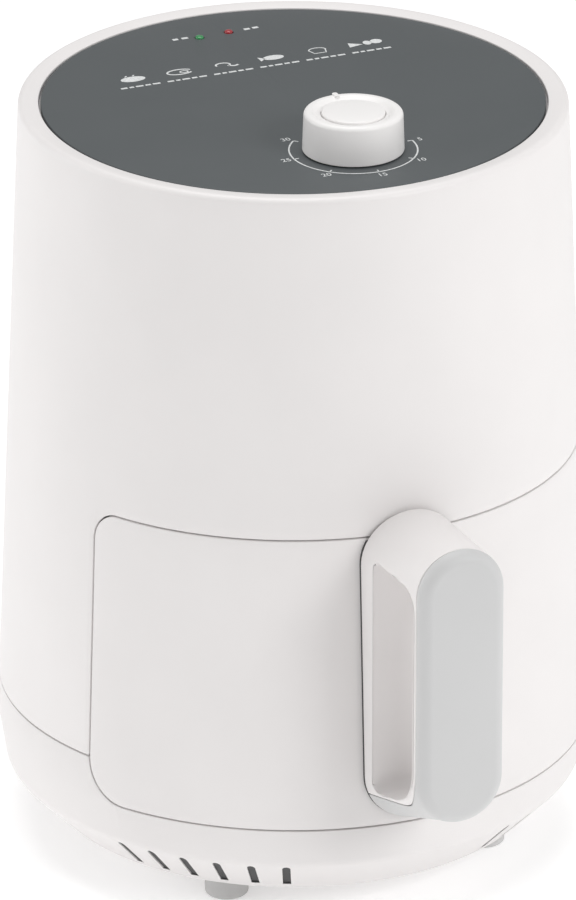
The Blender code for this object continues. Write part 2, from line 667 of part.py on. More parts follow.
def make_liner():
    """The steel chamber, open at the front where the pan goes in."""
    top = DRAWER_TOP + LINER_TOP
    profile = [
        (0, LINER_FLOOR), (LINER_OUTER, LINER_FLOOR), (LINER_OUTER, top), (LINER_INNER, top),
        (LINER_INNER, LINER_FLOOR + SHEET), (0, LINER_FLOOR + SHEET),
    ]
    liner = piece("chamber_liner", turned(profile, MIDDLE), STEEL, FRYER)
    low = (-MOUTH_HALF_WIDTH, -BODY_RADIUS, LINER_FLOOR + 2 * SHEET)
    high = (MOUTH_HALF_WIDTH, 0, DRAWER_TOP - RUN)
    combine(liner, helper("liner_mouth", block(low, high), FRYER))
    for number, side in (("left", -1), ("right", 1)):
        middle, reach = side * PAN_RADIUS * RAIL_SPREAD, LINER_INNER * RAIL_REACH
        start = (middle - RAIL_HALF_WIDTH, -reach, LINER_FLOOR + SHEET + FIT)
        end = (middle + RAIL_HALF_WIDTH, reach, PAN_FLOOR_HEIGHT - FIT)
        piece(f"pan_rail_{number}", soft_block(start, end, RAIL_HALF_WIDTH / 2), STEEL, FRYER)


MOUTH_HALF_ANGLE = math.radians(76)
MOUTH_FACE = DRAWER_FRONT_WALL + RUN
SWITCH_X = LINER_OUTER + FIT + SWITCH_SIZE[0] / 4
SWITCH_FACE = -SWITCH_X / math.tan(MOUTH_HALF_ANGLE) + SWITCH_SIZE[0] / 4


def make_mouth():
    """The frame round the drawer's opening, between the shell and the liner."""
    deep = drum_radius(DRAWER_TOP) - LINER_OUTER - FIT
    low, high = LINER_FLOOR + 4 * RUN, DRAWER_TOP + 5 * RUN
    rings = []
    steps = 24
    for k in range(steps + 1):
        angle = MOUTH_HALF_ANGLE * (2 * k / steps - 1)
        inner = drum_radius(DRAWER_TOP) - deep
        rings.append([
            around(inner, angle, low), around(drum_radius(low) - MOUTH_FACE, angle, low),
            around(drum_radius(high) - MOUTH_FACE, angle, high), around(inner, angle, high),
        ])
    frame = piece("mouth_frame", skin(rings), LIGHT_GREY, FRYER)
    reach = (-MOUTH_HALF_WIDTH, -BODY_RADIUS - RUN, 0), (MOUTH_HALF_WIDTH, 0, DRAWER_TOP - RUN)
    combine(frame, helper("mouth_way", block(*reach), FRYER))
    bore = rod(PLUNGER_RADIUS + FIT, -BODY_RADIUS / 4, BODY_RADIUS / 4, 12)
    bore = aimed(bore, (SWITCH_X, SWITCH_FACE, SWITCH_HEIGHT), (0, 1, 0))
    combine(frame, helper("plunger_way", bore, FRYER))


def make_switch():
    """The safety switch that the closed drawer presses."""
    wide, deep, tall = SWITCH_SIZE
    low = (LINER_OUTER + FIT, SWITCH_FACE, SWITCH_HEIGHT - tall / 2)
    high = (LINER_OUTER + FIT + wide, SWITCH_FACE + deep, SWITCH_HEIGHT + tall / 2)
    body = piece("switch_body", block(low, high), BLACK, FRYER)
    depth = 4 * PLUNGER_TRAVEL
    socket = rod(PLUNGER_RADIUS + FIT / 2, -RUN, depth + PLUNGER_TRAVEL + RUN, 12)
    socket = aimed(socket, (SWITCH_X, SWITCH_FACE, SWITCH_HEIGHT), (0, 1, 0))
    combine(body, helper("switch_socket", socket, FRYER))
    face = drum_radius(SWITCH_HEIGHT) - DRAWER_FRONT_WALL
    tip = -math.sqrt(face**2 - (SWITCH_X + PLUNGER_RADIUS) ** 2) + FIT
    holder = anchor("switch_press_axis", (SWITCH_X, tip, SWITCH_HEIGHT), FRYER)
    pin = aimed(rod(PLUNGER_RADIUS, 0, SWITCH_FACE + depth - tip, 12), (0, 0, 0), (0, 1, 0))
    piece("switch_plunger", pin, WHITE, holder)


def make_guard():
    """The slotted steel guard between the food and the heating element."""
    low = DRAWER_TOP + GUARD_HEIGHT
    radius = LINER_INNER - FIT
    guard = piece("element_guard", rod(radius, low, low + GUARD_WALL, MIDDLE), STEEL, FRYER)
    slots = []
    bands = ((0.16, 0.42, 8), (0.50, 0.70, 12), (0.76, 0.93, 16))
    for start, end, count in bands:
        for k in range(count):
            middle = 2 * math.pi * k / count
            half = 0.32 * 2 * math.pi / count
            corners = []
            for reach, turn in ((start, -half), (end, -half), (end, half), (start, half)):
                corners.append(tuple(around(reach * radius, middle + turn, 0))[:2])
            slots.append(prism(corners, "Z", low - WALL, low + WALL))
    combine(guard, helper("guard_slots", merged(slots), FRYER))


ELEMENT_LEGS = ((ELEMENT_OUTER, math.radians(187)), (ELEMENT_INNER, math.radians(195)))


def make_element():
    """One sheathed tube: a loop round, a turn back, a loop inside it and two legs up."""
    bend = 2 * ELEMENT_TUBE
    first, last = ELEMENT_LEGS[0][1], ELEMENT_LEGS[1][1]
    far = first + math.radians(342)
    points = [around(ELEMENT_OUTER, first, ELEMENT_LEG_TOP)]
    for k in range(4):
        turn = math.pi / 2 * k / 3
        ahead = bend * (1 - math.cos(turn)) / ELEMENT_OUTER
        height = ELEMENT_HEIGHT + bend * (1 - math.sin(turn))
        points.append(around(ELEMENT_OUTER, first + ahead, height))
    start = first + bend / ELEMENT_OUTER
    for k in range(1, 23):
        points.append(around(ELEMENT_OUTER, start + (far - start) * k / 22, ELEMENT_HEIGHT))
    middle, half = (ELEMENT_OUTER + ELEMENT_INNER) / 2, ELEMENT_PITCH / 2
    for k in range(1, 4):
        turn = math.pi * k / 4
        onward = far + half * math.sin(turn) / middle
        points.append(around(middle + half * math.cos(turn), onward, ELEMENT_HEIGHT))
    end = last + bend / ELEMENT_INNER
    for k in range(19):
        points.append(around(ELEMENT_INNER, far + (end - far) * k / 18, ELEMENT_HEIGHT))
    for k in range(3, -1, -1):
        turn = math.pi / 2 * k / 3
        ahead = bend * (1 - math.cos(turn)) / ELEMENT_INNER
        height = ELEMENT_HEIGHT + bend * (1 - math.sin(turn))
        points.append(around(ELEMENT_INNER, last + ahead, height))
    points.append(around(ELEMENT_INNER, last, ELEMENT_LEG_TOP))
    curve = bpy.data.curves.new("heating_element", "CURVE")
    curve.dimensions = "3D"
    curve.bevel_depth = ELEMENT_TUBE
    curve.bevel_resolution = 1
    curve.use_fill_caps = True
    line = curve.splines.new("POLY")
    line.points.add(len(points) - 1)
    for point, place in zip(line.points, points):
        point.co = (*place, 1)
    curve.materials.append(ELEMENT_STEEL)
    element = bpy.data.objects.new("heating_element", curve)
    element.parent = FRYER
    element.location.z = DRAWER_TOP
    bpy.context.collection.objects.link(element)
    for number, (radius, angle) in enumerate(ELEMENT_LEGS, 1):
        bush = tube(ELEMENT_TUBE + FIT, ELEMENT_TUBE + 2.2 * RUN, -2 * RUN, 5 * RUN)
        place = around(radius, angle, REFLECTOR_TOP)
        piece(f"element_bush_{number}", bush, CERAMIC, FRYER, place)


def make_reflector():
    """The lid of the chamber, which throws the heat down and carries the motor's bracket."""
    low = DRAWER_TOP + LINER_TOP + FIT
    high = low + REFLECTOR_RISE
    step = LINER_OUTER - 10 * SHEET
    hole = SHAFT_RADIUS + 2 * RUN
    profile = [
        (hole, high), (step - SHEET, high), (step, low), (LINER_OUTER, low), (LINER_OUTER, low + SHEET),
        (step + SHEET, low + SHEET), (step, high + SHEET), (hole, high + SHEET),
    ]
    reflector = piece("heat_reflector", turned(profile, MIDDLE), STEEL, FRYER)
    holes = []
    for radius, angle in ELEMENT_LEGS:
        way = rod(ELEMENT_TUBE + 2.2 * RUN + FIT, low - WALL, high + 2 * WALL)
        bmesh.ops.translate(way, verts=way.verts, vec=around(radius, angle, 0))
        holes.append(way)
    combine(reflector, helper("element_ways", merged(holes), FRYER))


def make_wheel(name, radius, low, depth, blades, sweep, material):
    """A fan wheel: a hub, a disc and curved-back blades, with a bore for the shaft."""
    disc = 1.2 * RUN
    bore = SHAFT_RADIUS + FIT / 2
    hub = bore + 3 * RUN
    high = low + depth
    profile = [
        (bore, low), (hub, low), (hub, high - disc), (radius, high - disc), (radius, high), (bore, high),
    ]
    wheel = piece(name, turned(profile, MIDDLE), material, FAN)
    vanes = []
    for k in range(blades):
        angle = 2 * math.pi * k / blades
        root = around(hub + 4 * RUN, angle, 0).xy
        tip = around(radius * 0.97, angle + sweep, 0).xy
        across = (tip - root).orthogonal().normalized() * VANE_WALL / 2
        outline = [root - across, tip - across, tip + across, root + across]
        vanes.append(prism([tuple(point) for point in outline], "Z", low, high - disc / 2))
    combine(wheel, helper(f"{name}_vanes", merged(vanes), FAN), "UNION")


def make_drive():
    """The motor on its bracket, and the shaft with a fan wheel at each end."""
    top = BRACKET_TOP
    foot = REFLECTOR_TOP + FIT
    span, leg = BRACKET_SPAN, BRACKET_FOOT
    outline = [
        (-span - leg, foot), (-span + 2 * SHEET, foot), (-span + 2 * SHEET, top - 2 * SHEET),
        (span - 2 * SHEET, top - 2 * SHEET), (span - 2 * SHEET, foot), (span + leg, foot),
        (span + leg, foot + 2 * SHEET), (span, foot + 2 * SHEET), (span, top), (-span, top),
        (-span, foot + 2 * SHEET), (-span - leg, foot + 2 * SHEET),
    ]
    strip = prism(outline, "Y", -BRACKET_WIDTH / 2, BRACKET_WIDTH / 2)
    bracket = piece("motor_bracket", strip, STEEL, FRYER)
    offset = MOTOR_RADIUS * 0.68
    ways = [rod(SHAFT_RADIUS + 2 * RUN, top - 2 * WALL, top + WALL)]
    for side in (-1, 1):
        way = rod(SCREW_RADIUS + FIT, top - 2 * WALL, top + WALL, SCREW_STEPS)
        bmesh.ops.translate(way, verts=way.verts, vec=(side * offset, 0, 0))
        ways.append(way)
    combine(bracket, helper("bracket_holes", merged(ways), FRYER))
    bore = SHAFT_RADIUS + RUN
    profile = rounded((
        (bore, MOTOR_BOTTOM), (MOTOR_RADIUS, MOTOR_BOTTOM, 2 * RUN),
        (MOTOR_RADIUS, MOTOR_TOP - RUN, 3 * RUN), (0.4 * MOTOR_RADIUS, MOTOR_TOP - RUN),
        (0.36 * MOTOR_RADIUS, MOTOR_TOP), (bore, MOTOR_TOP),
    ), 1)
    motor = piece("motor_body", turned(profile, MIDDLE), STEEL, FRYER)
    sockets = []
    for number, side in enumerate((-1, 1), 1):
        socket = rod(SCREW_RADIUS + FIT, MOTOR_BOTTOM - RUN, MOTOR_BOTTOM + 2 * WALL, SCREW_STEPS)
        bmesh.ops.translate(socket, verts=socket.verts, vec=(side * offset, 0, 0))
        sockets.append(socket)
        turned_over = aimed(screw(2 * SHEET + 1.6 * WALL), (0, 0, 0), (0, 0, -1))
        place = (side * offset, 0, top - 2 * SHEET - FIT)
        piece(f"motor_screw_{number}", turned_over, STEEL, FRYER, place)
    combine(motor, helper("motor_sockets", merged(sockets), FRYER))
    low = FAN_HEIGHT - RUN
    high = COOLER_BOTTOM + COOLER_DEPTH + RUN - DRAWER_TOP
    piece("motor_shaft", rod(SHAFT_RADIUS, low, high), STEEL, FAN)
    make_wheel("convection_fan", FAN_RADIUS, FAN_HEIGHT, FAN_DEPTH, 8, 0.35, STEEL)
    make_wheel("cooling_fan", COOLER_RADIUS, COOLER_BOTTOM - DRAWER_TOP, COOLER_DEPTH, 7, 0.5, BLACK)


def make_protection():
    """The thermostat and the one-shot fuse, which sense the reflector's heat."""
    brim, can, brim_top, can_top = THERMOSTAT
    body = turned(rounded((
        (0, 0), (brim, 0), (brim, brim_top), (can, brim_top), (can, can_top, RUN), (0, can_top),
    ), 1), SMALL)
    middle = LINER_OUTER * 0.62
    place = around(middle, math.radians(145), REFLECTOR_TOP + FIT)
    piece("thermostat", body, CERAMIC, FRYER, place)
    radius, half = FUSE
    fuse = aimed(rod(radius, -half, half, 12), (0, 0, 0), (1, 0, 0))
    place = around(middle, math.radians(-150), REFLECTOR_TOP + FIT + radius)
    piece("thermal_fuse", fuse, CERAMIC, FRYER, place)


def make_pan():
    """The coated pan with a rolled rim."""
    low = PAN_FLOOR_HEIGHT
    profile = rounded((
        (0, low), (PAN_RADIUS, low, PAN_CORNER), (PAN_RADIUS, PAN_TOP - PAN_RIM),
        (PAN_RIM_RADIUS, PAN_TOP - PAN_RIM), (PAN_RIM_RADIUS, PAN_TOP, PAN_RIM / 4),
        (PAN_INNER, PAN_TOP, PAN_RIM / 4),
        (PAN_INNER, low + PAN_WALL, PAN_CORNER - PAN_WALL), (0, low + PAN_WALL),
    ))
    piece("pan", turned(profile, MIDDLE), COATED, DRAWER)


def make_plate():
    """The perforated plate that keeps food off the pan's floor, on silicone feet."""
    low, high = PLATE_BOTTOM, PLATE_BOTTOM + PLATE_WALL
    plate = piece("crisper_plate", rod(PLATE_RADIUS, low, high, MIDDLE), COATED, PLATE)
    holes = [rod(2 * PLATE_HOLE, low - WALL, high + WALL, 12)]
    for radius, count in PLATE_RINGS:
        for k in range(count):
            hole = rod(PLATE_HOLE, low - WALL, high + WALL, 6)
            place = around(radius * PLATE_RADIUS / PLATE_SIZE, 2 * math.pi * k / count, 0)
            bmesh.ops.translate(hole, verts=hole.verts, vec=place)
            holes.append(hole)
    combine(plate, helper("plate_holes", merged(holes), PLATE))
    pad_low = PAN_FLOOR_HEIGHT + PAN_WALL + FIT
    for number in range(1, 5):
        place = around(PLATE_RADIUS - PAN_CORNER, math.radians(45 + 90 * number), 0)
        pad = rod(PAD_RADIUS, pad_low, low - FIT, 12)
        piece(f"plate_foot_{number}", pad, SILICONE, PLATE, place)


def make_drawer_front():
    front = piece("drawer_front", drawer_panel(DRAWER_FRONT_WALL, 0, -SEAM / 2), WHITE, DRAWER)
    combine(front, HANDLE_SCREW_WAYS)


def make_pan_bracket():
    """The moulding that joins the pan to the drawer front, with a pocket for the handle's screws."""
    low, high = DRAWER_FOOT + PAN_BRACKET_SET_IN, PAN_TOP - 4 * PAN_RIM
    half_angle = PAN_BRACKET_HALF_ANGLE
    face = DRAWER_FRONT_WALL + FIT

    def sector(inner, face_wall, z0, z1, half):
        rings = []
        for k in range(9):
            angle = half * (2 * k / 8 - 1)
            rings.append([
                around(inner, angle, z0), around(drum_radius(z0) - face_wall, angle, z0),
                around(drum_radius(z1) - face_wall, angle, z1), around(inner, angle, z1),
            ])
        return skin(rings)

    bracket = piece("pan_bracket", sector(PAN_RADIUS + FIT, face, low, high, half_angle), BLACK, DRAWER)
    inside = half_angle - WALL / PAN_RADIUS
    pocket = sector(PAN_RADIUS + WALL, face + WALL, low - WALL, high - WALL, inside)
    combine(bracket, helper("bracket_pocket", pocket, DRAWER))
    combine(bracket, HANDLE_SCREW_WAYS)


def stadium(y):
    """The handle's outline at a distance out from the drum's axis, as a ring of points."""
    out = (y - BODY_RADIUS) / (HANDLE_FACE - BODY_RADIUS)
    along = min(max(out, -1), 1)
    turn = min(max(y - HANDLE_FACE, 0) / HANDLE_EDGE, 1)
    rounding = HANDLE_EDGE * (1 - math.sqrt(1 - turn**2))
    radius = HANDLE_ROOT_HALF_WIDTH - HANDLE_FLARE * along - rounding
    top = HANDLE_TOP_CENTRE + HANDLE_TOP_RISE * along
    bottom = HANDLE_BOTTOM_CENTRE + HANDLE_BOTTOM_RISE * along
    ring = []
    for centre, start in ((top, 0), (bottom, math.pi)):
        for k in range(9):
            angle = start + math.pi * k / 8
            ring.append((radius * math.cos(angle), -y, centre + radius * math.sin(angle)))
    return ring


def handle_solid():
    edge = [HANDLE_FACE + HANDLE_EDGE * math.sin(math.pi / 2 * k / 4) for k in range(5)]
    return skin([stadium(y) for y in [BODY_RADIUS - 4 * DRAWER_FRONT_WALL] + edge])


def arm_line(out):
    """The height of the bottom arm's upper face, at a distance out from the drum's axis."""
    start = HANDLE_BOTTOM_CENTRE - HANDLE_ROOT_HALF_WIDTH + ARM_BOTTOM
    return start + ARM_SLOPE * (out - BODY_RADIUS)


def finger_opening():
    """The space for the fingers, deeper at the grip's sides than in its middle."""
    near = BODY_RADIUS + FLANGE
    top = HANDLE_TOP_CENTRE + HANDLE_ROOT_HALF_WIDTH - ARM_TOP
    rings = []
    for k in range(9):
        x = 1.06 * HANDLE_ROOT_HALF_WIDTH * (2 * k / 8 - 1)
        share = min(abs(x) / HANDLE_HALF_WIDTH, 1)
        far = HANDLE_FACE - GRIP_LIP - GRIP_BULGE * math.sqrt(1 - share**2)
        outline = rounded((
            (-near, arm_line(near), OPENING_NEAR_CORNER), (-near, top, OPENING_NEAR_CORNER),
            (-far, top, OPENING_TOP_CORNER), (-far, arm_line(far), OPENING_LOW_CORNER),
        ))
        rings.append([(x, y, z) for y, z in outline])
    return skin(rings)


def cover_region(margin):
    """Where the grey cover is: the grip's face, round the lower corner and under the bottom arm."""
    near, far = BODY_RADIUS - HANDLE_REACH, BODY_RADIUS + 2 * HANDLE_REACH
    face = HANDLE_FACE - margin
    drop = GRIP_LIP - margin
    low, high = 0, BODY_HEIGHT
    bend = OPENING_LOW_CORNER + GRIP_LIP
    outline = rounded((
        (-near, low), (-near, arm_line(near) - drop), (-face, arm_line(face) - drop, bend),
        (-face, high), (-far, high), (-far, low),
    ))
    return prism(outline, "X", -2 * HANDLE_ROOT_HALF_WIDTH, 2 * HANDLE_ROOT_HALF_WIDTH)


def drum_grown(margin):
    """The drum with a gap round it, to cut the handle's back to."""
    return turned([
        (0, 0), (BODY_RADIUS + margin, 0), (BODY_RADIUS + margin, SEAM_HEIGHT),
        (drum_radius(BODY_HEIGHT) + margin, BODY_HEIGHT), (0, BODY_HEIGHT),
    ], ROUND)


def make_handle():
    """The hollow-backed handle: a white moulding against the drawer front and a grey cover over it."""
    drum = helper("handle_back", drum_grown(HANDLE_GAP), DRAWER)
    body = piece("handle_body", handle_solid(), WHITE, DRAWER)
    cover = piece("handle_cover", handle_solid(), LIGHT_GREY, DRAWER)
    bosses = []
    for z in HANDLE_SCREWS:
        boss = rod(BOSS_RADIUS, BODY_RADIUS - 4 * DRAWER_FRONT_WALL, BODY_RADIUS + FLANGE / 2)
        bosses.append(aimed(boss, (0, 0, z), (0, -1, 0)))
    boss_tool = helper("handle_bosses", merged(bosses), DRAWER)
    combine(boss_tool, helper("boss_ends", drum_grown(FIT), DRAWER))
    combine(body, drum)
    combine(body, helper("finger_opening", finger_opening(), DRAWER))
    combine(body, helper("cover_region", cover_region(FIT), DRAWER))
    combine(body, boss_tool, "UNION")
    combine(body, HANDLE_SCREW_WAYS)
    combine(cover, helper("cover_shape", cover_region(0), DRAWER), "INTERSECT")
    combine(cover, drum)
    inside = BODY_RADIUS - DRAWER_FRONT_WALL - FIT - WALL
    for number, z in enumerate(HANDLE_SCREWS, 1):
        start = drum_radius(z) - (BODY_RADIUS - inside) - FIT
        made = aimed(screw(WALL + DRAWER_FRONT_WALL + FLANGE * 0.8), (0, 0, 0), (0, 1, 0))
        piece(f"handle_screw_{number}", made, STEEL, DRAWER, (0, -start, z))


DRAWER_OPENING = helper("drawer_opening", drawer_panel(4 * WALL, -4 * WALL, SEAM / 2), FRYER)
HANDLE_SCREWS = (DRAWER_FOOT + HANDLE_SCREW_SET_IN, DRAWER_TOP - HANDLE_SCREW_SET_IN)
ways = []
for height in HANDLE_SCREWS:
    way = rod(SCREW_RADIUS + FIT, BODY_RADIUS - 6 * WALL, BODY_RADIUS + FLANGE * 0.85, SCREW_STEPS)
    ways.append(aimed(way, (0, 0, height), (0, -1, 0)))
HANDLE_SCREW_WAYS = helper("handle_screw_ways", merged(ways), DRAWER)

make_outer_shell()
make_outlet_grille()
make_base()
make_feet()
make_chassis()
make_inlet()
make_panel()
make_lamps()
make_timer()
make_liner()
make_mouth()
make_switch()
make_guard()
make_element()
make_reflector()
make_drive()
make_protection()
make_pan()
make_plate()
make_drawer_front()
make_pan_bracket()
make_handle()
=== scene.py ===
# %% [markdown]
# # A drum-shaped air fryer, finished for the eye
#
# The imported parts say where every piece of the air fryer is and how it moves. This lesson gives each
# piece its real surface: satin moulded plastic, a printed slate panel, coated and bare steel.
# Nothing here changes a size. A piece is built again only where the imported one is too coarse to
# look right close up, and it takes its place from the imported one's box.

import json
import math

import bmesh
import bpy
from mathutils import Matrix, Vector


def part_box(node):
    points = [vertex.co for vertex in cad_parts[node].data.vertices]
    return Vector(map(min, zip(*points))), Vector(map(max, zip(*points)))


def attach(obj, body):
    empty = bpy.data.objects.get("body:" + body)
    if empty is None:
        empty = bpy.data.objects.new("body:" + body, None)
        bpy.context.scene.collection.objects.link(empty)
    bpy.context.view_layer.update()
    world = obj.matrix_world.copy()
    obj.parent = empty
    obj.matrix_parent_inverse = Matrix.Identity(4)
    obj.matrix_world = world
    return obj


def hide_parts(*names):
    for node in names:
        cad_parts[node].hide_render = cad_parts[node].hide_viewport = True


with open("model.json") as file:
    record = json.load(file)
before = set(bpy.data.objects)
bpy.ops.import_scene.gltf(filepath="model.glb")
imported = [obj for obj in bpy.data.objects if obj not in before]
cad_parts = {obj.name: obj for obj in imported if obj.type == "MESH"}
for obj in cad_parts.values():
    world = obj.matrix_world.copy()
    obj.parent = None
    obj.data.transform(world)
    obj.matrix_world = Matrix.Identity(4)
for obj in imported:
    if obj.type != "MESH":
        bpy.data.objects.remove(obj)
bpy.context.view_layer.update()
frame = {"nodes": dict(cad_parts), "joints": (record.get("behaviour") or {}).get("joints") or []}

# %% [markdown]
# ## The drum's own sizes
#
# Almost everything is turned round one upright axis, the one that the fans spin on. The big sizes
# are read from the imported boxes, so that the finished pieces can't drift away from them. The small
# ones, such as an edge's radius, can't be read from a box, so they are named here.

# %% Measure the drum
MM = 0.001
joints = {joint["name"]: joint for joint in frame["joints"]}
DRUM = Vector((*joints["fan_spin"]["pos_m"][:2], 0.0))


def low(node):
    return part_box(node)[0]


def high(node):
    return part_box(node)[1]


def heights(node):
    return low(node).z, high(node).z


def middle_of(node):
    """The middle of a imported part's box, measured from the drum's axis."""
    return (low(node) + high(node)) / 2 - DRUM


BODY_RADIUS = high("base_shell").x
RIM_TOP = high("outer_shell").z
BASE_TOP = high("base_shell").z
RIM_RADIUS = 95.8 * MM
SEAM = low("outer_shell").z - BASE_TOP
SEAM_HEIGHT = BASE_TOP + SEAM / 2
WALL, GAP, WELD = 2.5 * MM, 0.3 * MM, 1e-6
TAPER = (BODY_RADIUS - RIM_RADIUS) / (RIM_TOP - SEAM_HEIGHT)
DRAWER_LOW, DRAWER_HIGH = low("drawer_front").z - SEAM / 2, high("drawer_front").z + SEAM / 2
DRAWER_HALF_ANGLE = math.radians(66.1)
DRAWER_HALF_WIDTH = DRAWER_HALF_ANGLE * BODY_RADIUS
DRAWER_TOP_CORNER = 10.5 * MM
DRAWER_LOW_CORNER = SEAM_HEIGHT - DRAWER_LOW - SEAM / 2


def drum_radius(z):
    return BODY_RADIUS - max(z - SEAM_HEIGHT, 0.0) * TAPER


print(f"drum {2000 * BODY_RADIUS:.0f} mm across, seam at {1000 * SEAM_HEIGHT:.1f} mm")

# %% [markdown]
# ## The camera
#
# It stands well back with a long lens, so that the drum's sides stay nearly parallel, and looks down
# far enough to show the whole control panel. A small shift frames the drum a little to the right.

# %% Camera
AZIMUTH, ELEVATION = math.radians(-23.3), math.radians(23.521)
DISTANCE, AIM_HEIGHT = 3.296, 139.5 * MM
IMAGE_HEIGHT, FOCAL_LENGTH_IN_IMAGE, SHIFT_IN_IMAGE = 900, 9328, -5.35

aim = DRUM + Vector((0, 0, AIM_HEIGHT))
toward_camera = Vector((
    math.sin(AZIMUTH) * math.cos(ELEVATION),
    -math.cos(AZIMUTH) * math.cos(ELEVATION),
    math.sin(ELEVATION),
))
lens = bpy.data.cameras.new("camera")
lens.sensor_width = 36
lens.lens = FOCAL_LENGTH_IN_IMAGE / IMAGE_HEIGHT * lens.sensor_width
lens.shift_x = SHIFT_IN_IMAGE / IMAGE_HEIGHT
lens.clip_end = 20
camera = bpy.data.objects.new("camera", lens)
camera.location = aim + DISTANCE * toward_camera
camera.rotation_euler = (-toward_camera).to_track_quat("-Z", "Y").to_euler()
bpy.context.scene.collection.objects.link(camera)
bpy.context.scene.camera = camera
print("camera", [round(value, 3) for value in camera.location])

# %% [markdown]
# ## Shapes
#
# Most moulded pieces are a row of closed outlines joined one to the next: a turned piece is the same
# outline at every turn, and a handle is one outline that changes as it goes. One function, `skin`,
# joins outlines, and everything else here only works out where their points are.

# %% Points and outlines
FULL_TURN = 2 * math.pi
ROUND = 192


def around(radius, angle, z):
    """A point where angle 0 is the front and a quarter turn is to the right."""
    return Vector((radius * math.sin(angle), -radius * math.cos(angle), z))


def steps_between(first, last, count):
    """count + 1 evenly spaced numbers."""
    return [first + (last - first) * k / count for k in range(count + 1)]


def rounded(outline, steps=4):
    """A closed outline's points, with an arc in place of each corner that names a radius."""
    points = []
    for i, corner in enumerate(outline):
        here = Vector(corner[:2])
        if len(corner) < 3:
            points.append(tuple(here))
            continue
        radius = corner[2]
        before = (Vector(outline[i - 1][:2]) - here).normalized()
        after = (Vector(outline[(i + 1) % len(outline)][:2]) - here).normalized()
        half = before.angle(after) / 2
        centre = here + (before + after).normalized() * radius / math.sin(half)
        first = here + before * radius / math.tan(half) - centre
        last = here + after * radius / math.tan(half) - centre
        start = math.atan2(first.y, first.x)
        sweep = (math.atan2(last.y, last.x) - start + math.pi) % FULL_TURN - math.pi
        for angle in steps_between(start, start + sweep, steps):
            points.append((centre.x + radius * math.cos(angle), centre.y + radius * math.sin(angle)))
    return points


def arc(centre, width, height, start, end, steps=20):
    """Points on part of an ellipse, with its turns in degrees from +X."""
    turns = [math.radians(turn) for turn in steps_between(start, end, steps)]
    return [(centre[0] + width * math.cos(turn), centre[1] + height * math.sin(turn)) for turn in turns]


# %% Solids from outlines
def skin(rings, closed=False, capped=True):
    """Joins each ring of points to the next. It closes on itself, or has flat caps or none."""
    bm = bmesh.new()
    loops = [[bm.verts.new(point) for point in ring] for ring in rings]
    for first, second in zip(loops, loops[1:] + loops[:1] if closed else loops[1:]):
        for i, here in enumerate(first):
            j = (i + 1) % len(first)
            bm.faces.new((here, first[j], second[j], second[i]))
    if capped and not closed:
        bm.faces.new(loops[0])
        bm.faces.new(loops[-1])
    bmesh.ops.remove_doubles(bm, verts=bm.verts, dist=WELD)
    bmesh.ops.recalc_face_normals(bm, faces=bm.faces)
    return bm


def swept(profile, turns, closed=False):
    """A profile of radii and heights, carried through turns round the Z axis."""
    return skin([[around(r, turn, z) for r, z in profile] for turn in turns], closed)


def turned(profile, steps=ROUND):
    return swept(profile, steps_between(0, FULL_TURN, steps)[:-1], closed=True)


def rod(radius, bottom, top, steps=32):
    return turned([(0, bottom), (radius, bottom), (radius, top), (0, top)], steps)


def web(inner, depth, bottom, top, turns):
    """A curved block from a radius out to a depth in the drum's wall."""
    low_edge, high_edge = drum_radius(bottom) - depth, drum_radius(top) - depth
    return swept(((inner, bottom), (low_edge, bottom), (high_edge, top), (inner, top)), turns)


def prism(outline, axis, bottom, top):
    """An outline pushed along X, Y or Z. Its points are the other two coordinates, in order."""
    rings = []
    for along in (bottom, top):
        ring = [list(point) for point in outline]
        for point in ring:
            point.insert("XYZ".index(axis), along)
        rings.append(ring)
    return skin(rings)


def block(corner, other, radius=0.0):
    (x0, y0, z0), (x1, y1, z1) = corner, other
    outline = [(x0, y0), (x1, y0), (x1, y1), (x0, y1)]
    if radius:
        outline = rounded([(*point, radius) for point in outline], 5)
    return prism(outline, "Z", z0, z1)


def moved(bm, place):
    bmesh.ops.translate(bm, verts=bm.verts, vec=place)
    return bm


def aimed(bm, start, direction):
    """Turns a solid made along Z to lie along a direction from a start."""
    turn = Vector((0, 0, 1)).rotation_difference(Vector(direction)).to_matrix().to_4x4()
    turn.translation = Vector(start)
    bmesh.ops.transform(bm, matrix=turn, verts=bm.verts)
    return bm


def together(solids):
    """Several solids in one mesh."""
    whole = bmesh.new()
    for solid in solids:
        mesh = bpy.data.meshes.new("loose")
        solid.to_mesh(mesh)
        solid.free()
        whole.from_mesh(mesh)
        bpy.data.meshes.remove(mesh)
    return whole


# %% [markdown]
# A finished piece is one plain mesh at the origin with its place in its vertices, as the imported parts
# are. `Piece` keeps the steps in order: build, cut, soften the edges, then settle into a plain mesh
# and ride on a body.

# %% From a solid to a finished piece
def loose_object(name, bm):
    mesh = bpy.data.meshes.new(name)
    bm.to_mesh(mesh)
    bm.free()
    made = bpy.data.objects.new(name, mesh)
    bpy.context.scene.collection.objects.link(made)
    return made


def plain_mesh(obj):
    """The mesh with its modifiers applied."""
    graph = bpy.context.evaluated_depsgraph_get()
    return bpy.data.meshes.new_from_object(obj.evaluated_get(graph))


def solid_from(obj, *others):
    """An object's finished shape as a solid. The object goes, and so do the tools that cut it."""
    mesh = plain_mesh(obj)
    made = bmesh.new()
    made.from_mesh(mesh)
    bpy.data.meshes.remove(mesh)
    for item in (obj, *others):
        bpy.data.objects.remove(item)
    return made


SHARP = math.radians(35)


